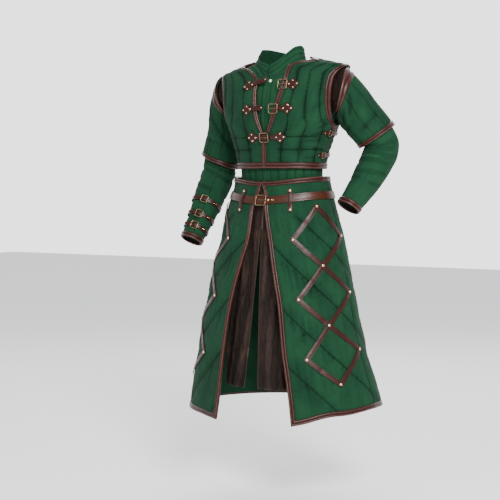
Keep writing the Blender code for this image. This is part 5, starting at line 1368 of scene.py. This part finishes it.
for side_name, side in SIDES:
    runs = []
    for k in range(3):
        for corner in ("front", "side"):
            runs.append((LATTICE["middle"][k], LATTICE[corner][k]))
            runs.append((LATTICE[corner][k], LATTICE["middle"][k + 1]))
    for number, (low, high) in enumerate(runs):
        low, high = np.array(low), np.array(high)
        ends = surface(skirt_form, *np.array([low, high]).T)
        over = LATTICE_OVER / np.linalg.norm(ends[1] - ends[0])
        share = np.linspace(-over, 1 + over, LATTICE_POINTS)
        way = low + (high - low) * share[:, None]
        height, turn = way[:, 0], way[:, 1] * side
        points, outs = on(skirt_form, height, turn, ribbon_lift(height, turn) + LAP * (number % 2))
        halves = np.full(LATTICE_POINTS, LATTICE_HALF)
        halves[[0, -1]] = LATTICE_HALF * 0.86
        name = f"lattice_{side_name}_strap_{number + 1}"
        flat_strap(name, points - (0, SEAM, 0), outs, halves, BROWN, LATTICE_THICK)
    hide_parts("lattice_" + side_name)
    for row in LATTICE.values():
        for height, turn in row:
            lift = ribbon_lift(height, turn * side) + LAP + LATTICE_THICK
            rivet("brass", skirt_form, height, turn * side, lift, 0.0052)

# ---------------------------------------------------------------------------------------------
# The tails: two tapering pieces of dark suede that hang inside the skirt's opening, folded and
# crumpled lengthwise, with the raw pale edge of the hide showing at the slit.
# ---------------------------------------------------------------------------------------------
TAIL_WALL = 0.0022
TAIL_STEP = 0.0034
RAW_EDGE = 0.0030
TAILS = [(-0.350, 0.160, 0.1235, 0.120, 0.0), (-0.450, 0.176, 0.1330, 0.140, 0.0),
         (-0.600, 0.190, 0.1500, 0.160, 0.0), (-0.800, 0.205, 0.1650, 0.180, 0.0),
         (-1.100, 0.225, 0.1800, 0.200, 0.0)]
TAIL_FOLDS = [(20, 7, 0.006), (38, 8, -0.006), (52, 6, 0.005), (-13, 6, -0.005), (-27, 7, 0.006),
              (-45, 8, -0.006)]
TAIL_LEVELS = (-1.095, -1.000, -0.900, -0.800, -0.700, -0.600, -0.500, -0.430, -0.360)
TAIL_EDGES = [(-0.360, 0.3, 0.3), (-0.500, 0.3, 0.5), (-0.560, 0.4, 1.5), (-0.700, 0.8, 5.0),
              (-0.900, 1.4, 11.0), (-1.095, 2.0, 17.5)]
TAIL_SIDE = 54.0
tail_form = form_of(TAILS, 2.0, TAIL_FOLDS, -0.45, -1.10)

# Vegetable-tanned suede, nearly black-brown: a matt nap with fine crumples that catch the light.
SUEDE, tree = finish("crumpled_dark_suede", roughness=0.62, sheen_weight=0.03, sheen_roughness=0.5,
                     specular_ior_level=0.12)
grain, shade = cloth_grain(tree), kept_shade(tree)
crumple = noise(tree, scaled(tree, grain, (95.0, 26.0, 1.0)), 1.0, 7.0, 0.62, 1.3)
nap = noise(tree, grain, 900.0, 2.0)
blend = weighed(tree, crumple, 0.8, noise(tree, grain, 7.0, 5.0))
tint = mixed(tree, ranged(tree, blend, 0.65, 1.15), "#0d0807", "#33251f")
# Painted shade and highlight: the kept shade darkens the colour down in the folds and lightens it on their
# crowns; the raw edge keeps its own pale colour.
painted_fold_shading = mixed(tree, 1.0, tint, ranged(tree, shade, 0.12, 0.70, 0.12, 1.25), "MULTIPLY")
set_shader(tree, base_color=mixed(tree, ranged(tree, shade, 0.75, 1.0), painted_fold_shading, "#4b3a2e"),
           normal=bumped(tree, crumple, 0.75, 0.0040, bumped(tree, nap, 0.3, 0.0004)))
for column, (side_name, side) in enumerate(SIDES, 1):
    spots = []
    for height in TAIL_LEVELS:
        start = float(smooth(TAIL_EDGES, height, column))
        spots.append([(height, (start + (TAIL_SIDE - start) * k / 10) * side) for k in range(11)])
    grid = body_panel(tail_form, spots, 0.0, TAIL_STEP)
    folds = 0.0046 * np.sin(grid.u * 118 + 2.2 * np.sin(grid.v * 7 + side) + side)
    folds += 0.0018 * np.sin(grid.u * 260 + 4.0 * np.sin(grid.v * 19)) * np.sin(grid.v * 33 + 5 * grid.u)
    folds *= ease(grid.length - grid.v + 0.01, 0.25) * ease(grid.u, 0.02)
    raw_edge = np.minimum(grid.u, grid.v) < RAW_EDGE
    shade = np.where(raw_edge, 1.0, np.clip(0.45 + folds * 70, 0.1, 0.74))
    shell("tail_" + side_name, grid, TAIL_WALL, folds, shade, SUEDE, side, "hung", "dark_suede")

# ---------------------------------------------------------------------------------------------
# The belt: smooth strap leather round the skirt below its waist, through a loop on each front. A
# bronze buckle and a riveted tip close it at the front, and two rivets hold each loop.
# ---------------------------------------------------------------------------------------------
BELT_HALF = 0.014
BELT_THICK = 0.0030
BELT_LIFT = 0.0034
BELT_FACE = BELT_LIFT + BELT_THICK
BELT_BUCKLE = 0.044, 0.040, 0.0021
BELT_AROUND = 240       # points
BELT = hide("smooth_russet_strap", "#43200f", "#6b3f2a", "#280f08", 0.36, 0.9, 0.10)


def belt_level(turn):
    """Height of the belt's middle: lowest at centre front."""
    return -0.410 - 0.020 * np.maximum(np.cos(np.radians(turn)), 0) ** 2


turns = np.linspace(0, 360, BELT_AROUND, endpoint=False)
flat_strap("belt_leather", *on(skirt_form, belt_level(turns), turns, BELT_LIFT), BELT_HALF, BELT,
           BELT_THICK, "belt", slot="belt_leather", closed=True)
buckle("belt_buckle", *stood(skirt_form, belt_level(1.0), 1.0, BELT_FACE + 0.0030)[:3], *BELT_BUCKLE)
turns = np.linspace(-8, 16, 26)
halves = tapered(26, BELT_HALF * 0.97, 0.0128, 0.0110, 0.0080, 0.0030)
flat_strap("belt_tip", *on(skirt_form, belt_level(turns), turns, BELT_FACE + 0.0006), halves, BELT, 0.0026,
           slot="belt_leather")
for turn, radius, lift in ((12.4, 0.0042, 0.0034), (17.5, 0.0020, 0.0004), (19.5, 0.0020, 0.0004)):
    rivet("brass", skirt_form, belt_level(turn), turn, BELT_FACE + lift, radius)
# A loop's height from the belt's middle, its lift off the skirt, and its half width.
BELT_LOOP = np.array([
    (-.048, .0034, .0060), (-.042, .0036, .0084), (-.034, .0036, .009), (-.024, .0040, .009),
    (-.0165, .0064, .009), (-.012, .0074, .009), (-.006, .0078, .009), (0, .0079, .009),
    (.006, .0078, .009), (.012, .0074, .009), (.0165, .0066, .009), (.021, .0052, .009),
    (.027, .0044, .0084), (.034, .0042, .006)])
for side_name, turn in (("left", 40.5), ("right", -32.5)):
    rise, lift, halves = BELT_LOOP.T
    name = "belt_loop_" + side_name
    flat_strap(name + "_leather", *on(skirt_form, belt_level(turn) + rise, turn, lift), halves, BROWN,
               0.0022, name)
    for end, off in ((-.0395, .0036), (.0275, .0044)):
        rivet("brass", skirt_form, belt_level(turn) + end, turn, off + 0.0024, 0.0046)

# ---------------------------------------------------------------------------------------------
# Rivets: domed brass heads, and dark bronze ones, pressed through the straps. All are made from one
# head, set on every place that the straps left for it and turned to stand off the leather.
# ---------------------------------------------------------------------------------------------
# Pale brass, polished and a little brushed by wear: bright points on the dark leather.
BRASS, tree = finish("polished_pale_brass", metallic=1.0, roughness=0.24)
patch = noise(tree, add(tree, "ShaderNodeTexCoord").outputs["Object"], 420.0, 4.0)
set_shader(tree, base_color=mixed(tree, patch, "#c89c62", "#f3dcb8"))


def node_group(name, *labels):
    """An empty geometry tree with a Geometry input and output and named inputs for its sizes."""
    tree = bpy.data.node_groups.new(name, "GeometryNodeTree")
    tree.interface.new_socket("Geometry", in_out="INPUT", socket_type="NodeSocketGeometry")
    tree.interface.new_socket("Geometry", in_out="OUTPUT", socket_type="NodeSocketGeometry")
    for label in labels:
        tree.interface.new_socket(label, in_out="INPUT", socket_type="NodeSocketFloat")
    return tree, add(tree, "NodeGroupInput"), add(tree, "NodeGroupOutput")


def grown(name, base, tree, values):
    """The plain mesh that a geometry tree grows on a base object, which is then removed."""
    modifier = base.modifiers.new("grow", "NODES")
    modifier.node_group = tree
    for item in tree.interface.items_tree:
        if item.item_type == "SOCKET" and item.in_out == "INPUT" and item.name in values:
            modifier[item.identifier] = values[item.name]
    graph = bpy.context.evaluated_depsgraph_get()
    mesh = bpy.data.meshes.new_from_object(base.evaluated_get(graph), depsgraph=graph)
    bpy.data.objects.remove(base)
    made = bpy.data.objects.new(name, mesh)
    mesh.name = name
    bpy.context.scene.collection.objects.link(made)
    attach(made, "root")
    return made


MARK_VALUES = ("stand", "FLOAT_VECTOR"), ("way", "FLOAT_VECTOR"), ("size", "FLOAT")


def marks(name, rows):
    """A base object of loose points that carry an outward direction, a way along and a size each."""
    mesh = bpy.data.meshes.new(name)
    mesh.from_pydata([tuple(map(float, row[0])) for row in rows], [], [])
    for column, (label, kind) in enumerate(MARK_VALUES, 1):
        keep(mesh, label, [row[column] for row in rows], kind)
    made = bpy.data.objects.new(name, mesh)
    bpy.context.scene.collection.objects.link(made)
    return made


def set_on_marks(tree, entry, exit_node, shape, scale, material):
    """Sets a scaled shape on every mark: its Z along stand, its X along way, as large as size."""
    scale = add(tree, "ShaderNodeCombineXYZ", None, dict(zip("XYZ", scale)))
    shape = add(tree, "GeometryNodeTransform", None,
                {"Geometry": shape.outputs[0], "Scale": scale.outputs[0]})
    stand, way, size = (add(tree, "GeometryNodeInputNamedAttribute", {"data_type": kind}, {"Name": label})
                        for label, kind in MARK_VALUES)
    turn = add(tree, "FunctionNodeAxesToRotation", {"primary_axis": "Z", "secondary_axis": "X"},
               {"Primary Axis": stand.outputs[0], "Secondary Axis": way.outputs[0]})
    placed = add(tree, "GeometryNodeInstanceOnPoints", None,
                 {"Points": entry.outputs["Geometry"], "Instance": shape.outputs[0],
                  "Rotation": turn.outputs[0],
                  "Scale": size.outputs[0]})
    real = add(tree, "GeometryNodeRealizeInstances", None, {"Geometry": placed.outputs[0]})
    smooth_shade = add(tree, "GeometryNodeSetShadeSmooth", None, {"Geometry": real.outputs[0]})
    last = add(tree, "GeometryNodeSetMaterial", None,
               {"Geometry": smooth_shade.outputs[0], "Material": material})
    tree.links.new(last.outputs[0], exit_node.inputs["Geometry"])


DOME_HEIGHT = 0.55      # in radii
rivet_tree, entry, leave = node_group("domed_rivet", "Height")
dome = add(rivet_tree, "GeometryNodeMeshUVSphere", None, {"Segments": 16, "Rings": 10, "Radius": 1.0})
set_on_marks(rivet_tree, entry, leave, dome, (1.0, 1.0, entry.outputs["Height"]), BRASS)
for kind, places in rivets.items():
    rows = [(point, out, np.cross(out, (0.31, 0.17, 0.93)), radius) for point, out, radius in places]
    made = grown(kind + "_rivet_heads", marks("rivet_marks", rows), rivet_tree, {"Height": DOME_HEIGHT})
    if kind == "dark":
        made.data.materials[0] = BRONZE

# ---------------------------------------------------------------------------------------------
# Sewing: the waxed thread that holds every edge binding, one short stitch after another down the
# groove between its two ridges.
# ---------------------------------------------------------------------------------------------
# Waxed linen thread, dyed brown: hardly shiny. It is drawn a little thicker than it is, to be seen.
THREAD, _ = finish("waxed_linen_thread", base_color=linear("#3b241b"), roughness=0.6)
STITCH_LENGTH = 0.0032
STITCH_THICK = 0.0009
stitch_tree, entry, leave = node_group("thread_stitch", "Length", "Thickness")
bead = add(stitch_tree, "GeometryNodeMeshUVSphere", None, {"Segments": 6, "Rings": 4, "Radius": 0.5})
thick = entry.outputs["Thickness"]
set_on_marks(stitch_tree, entry, leave, bead, (entry.outputs["Length"], thick, thick), THREAD)
sewn = grown("binding_stitches", marks("stitch_marks", stitches), stitch_tree,
             {"Length": STITCH_LENGTH, "Thickness": STITCH_THICK})
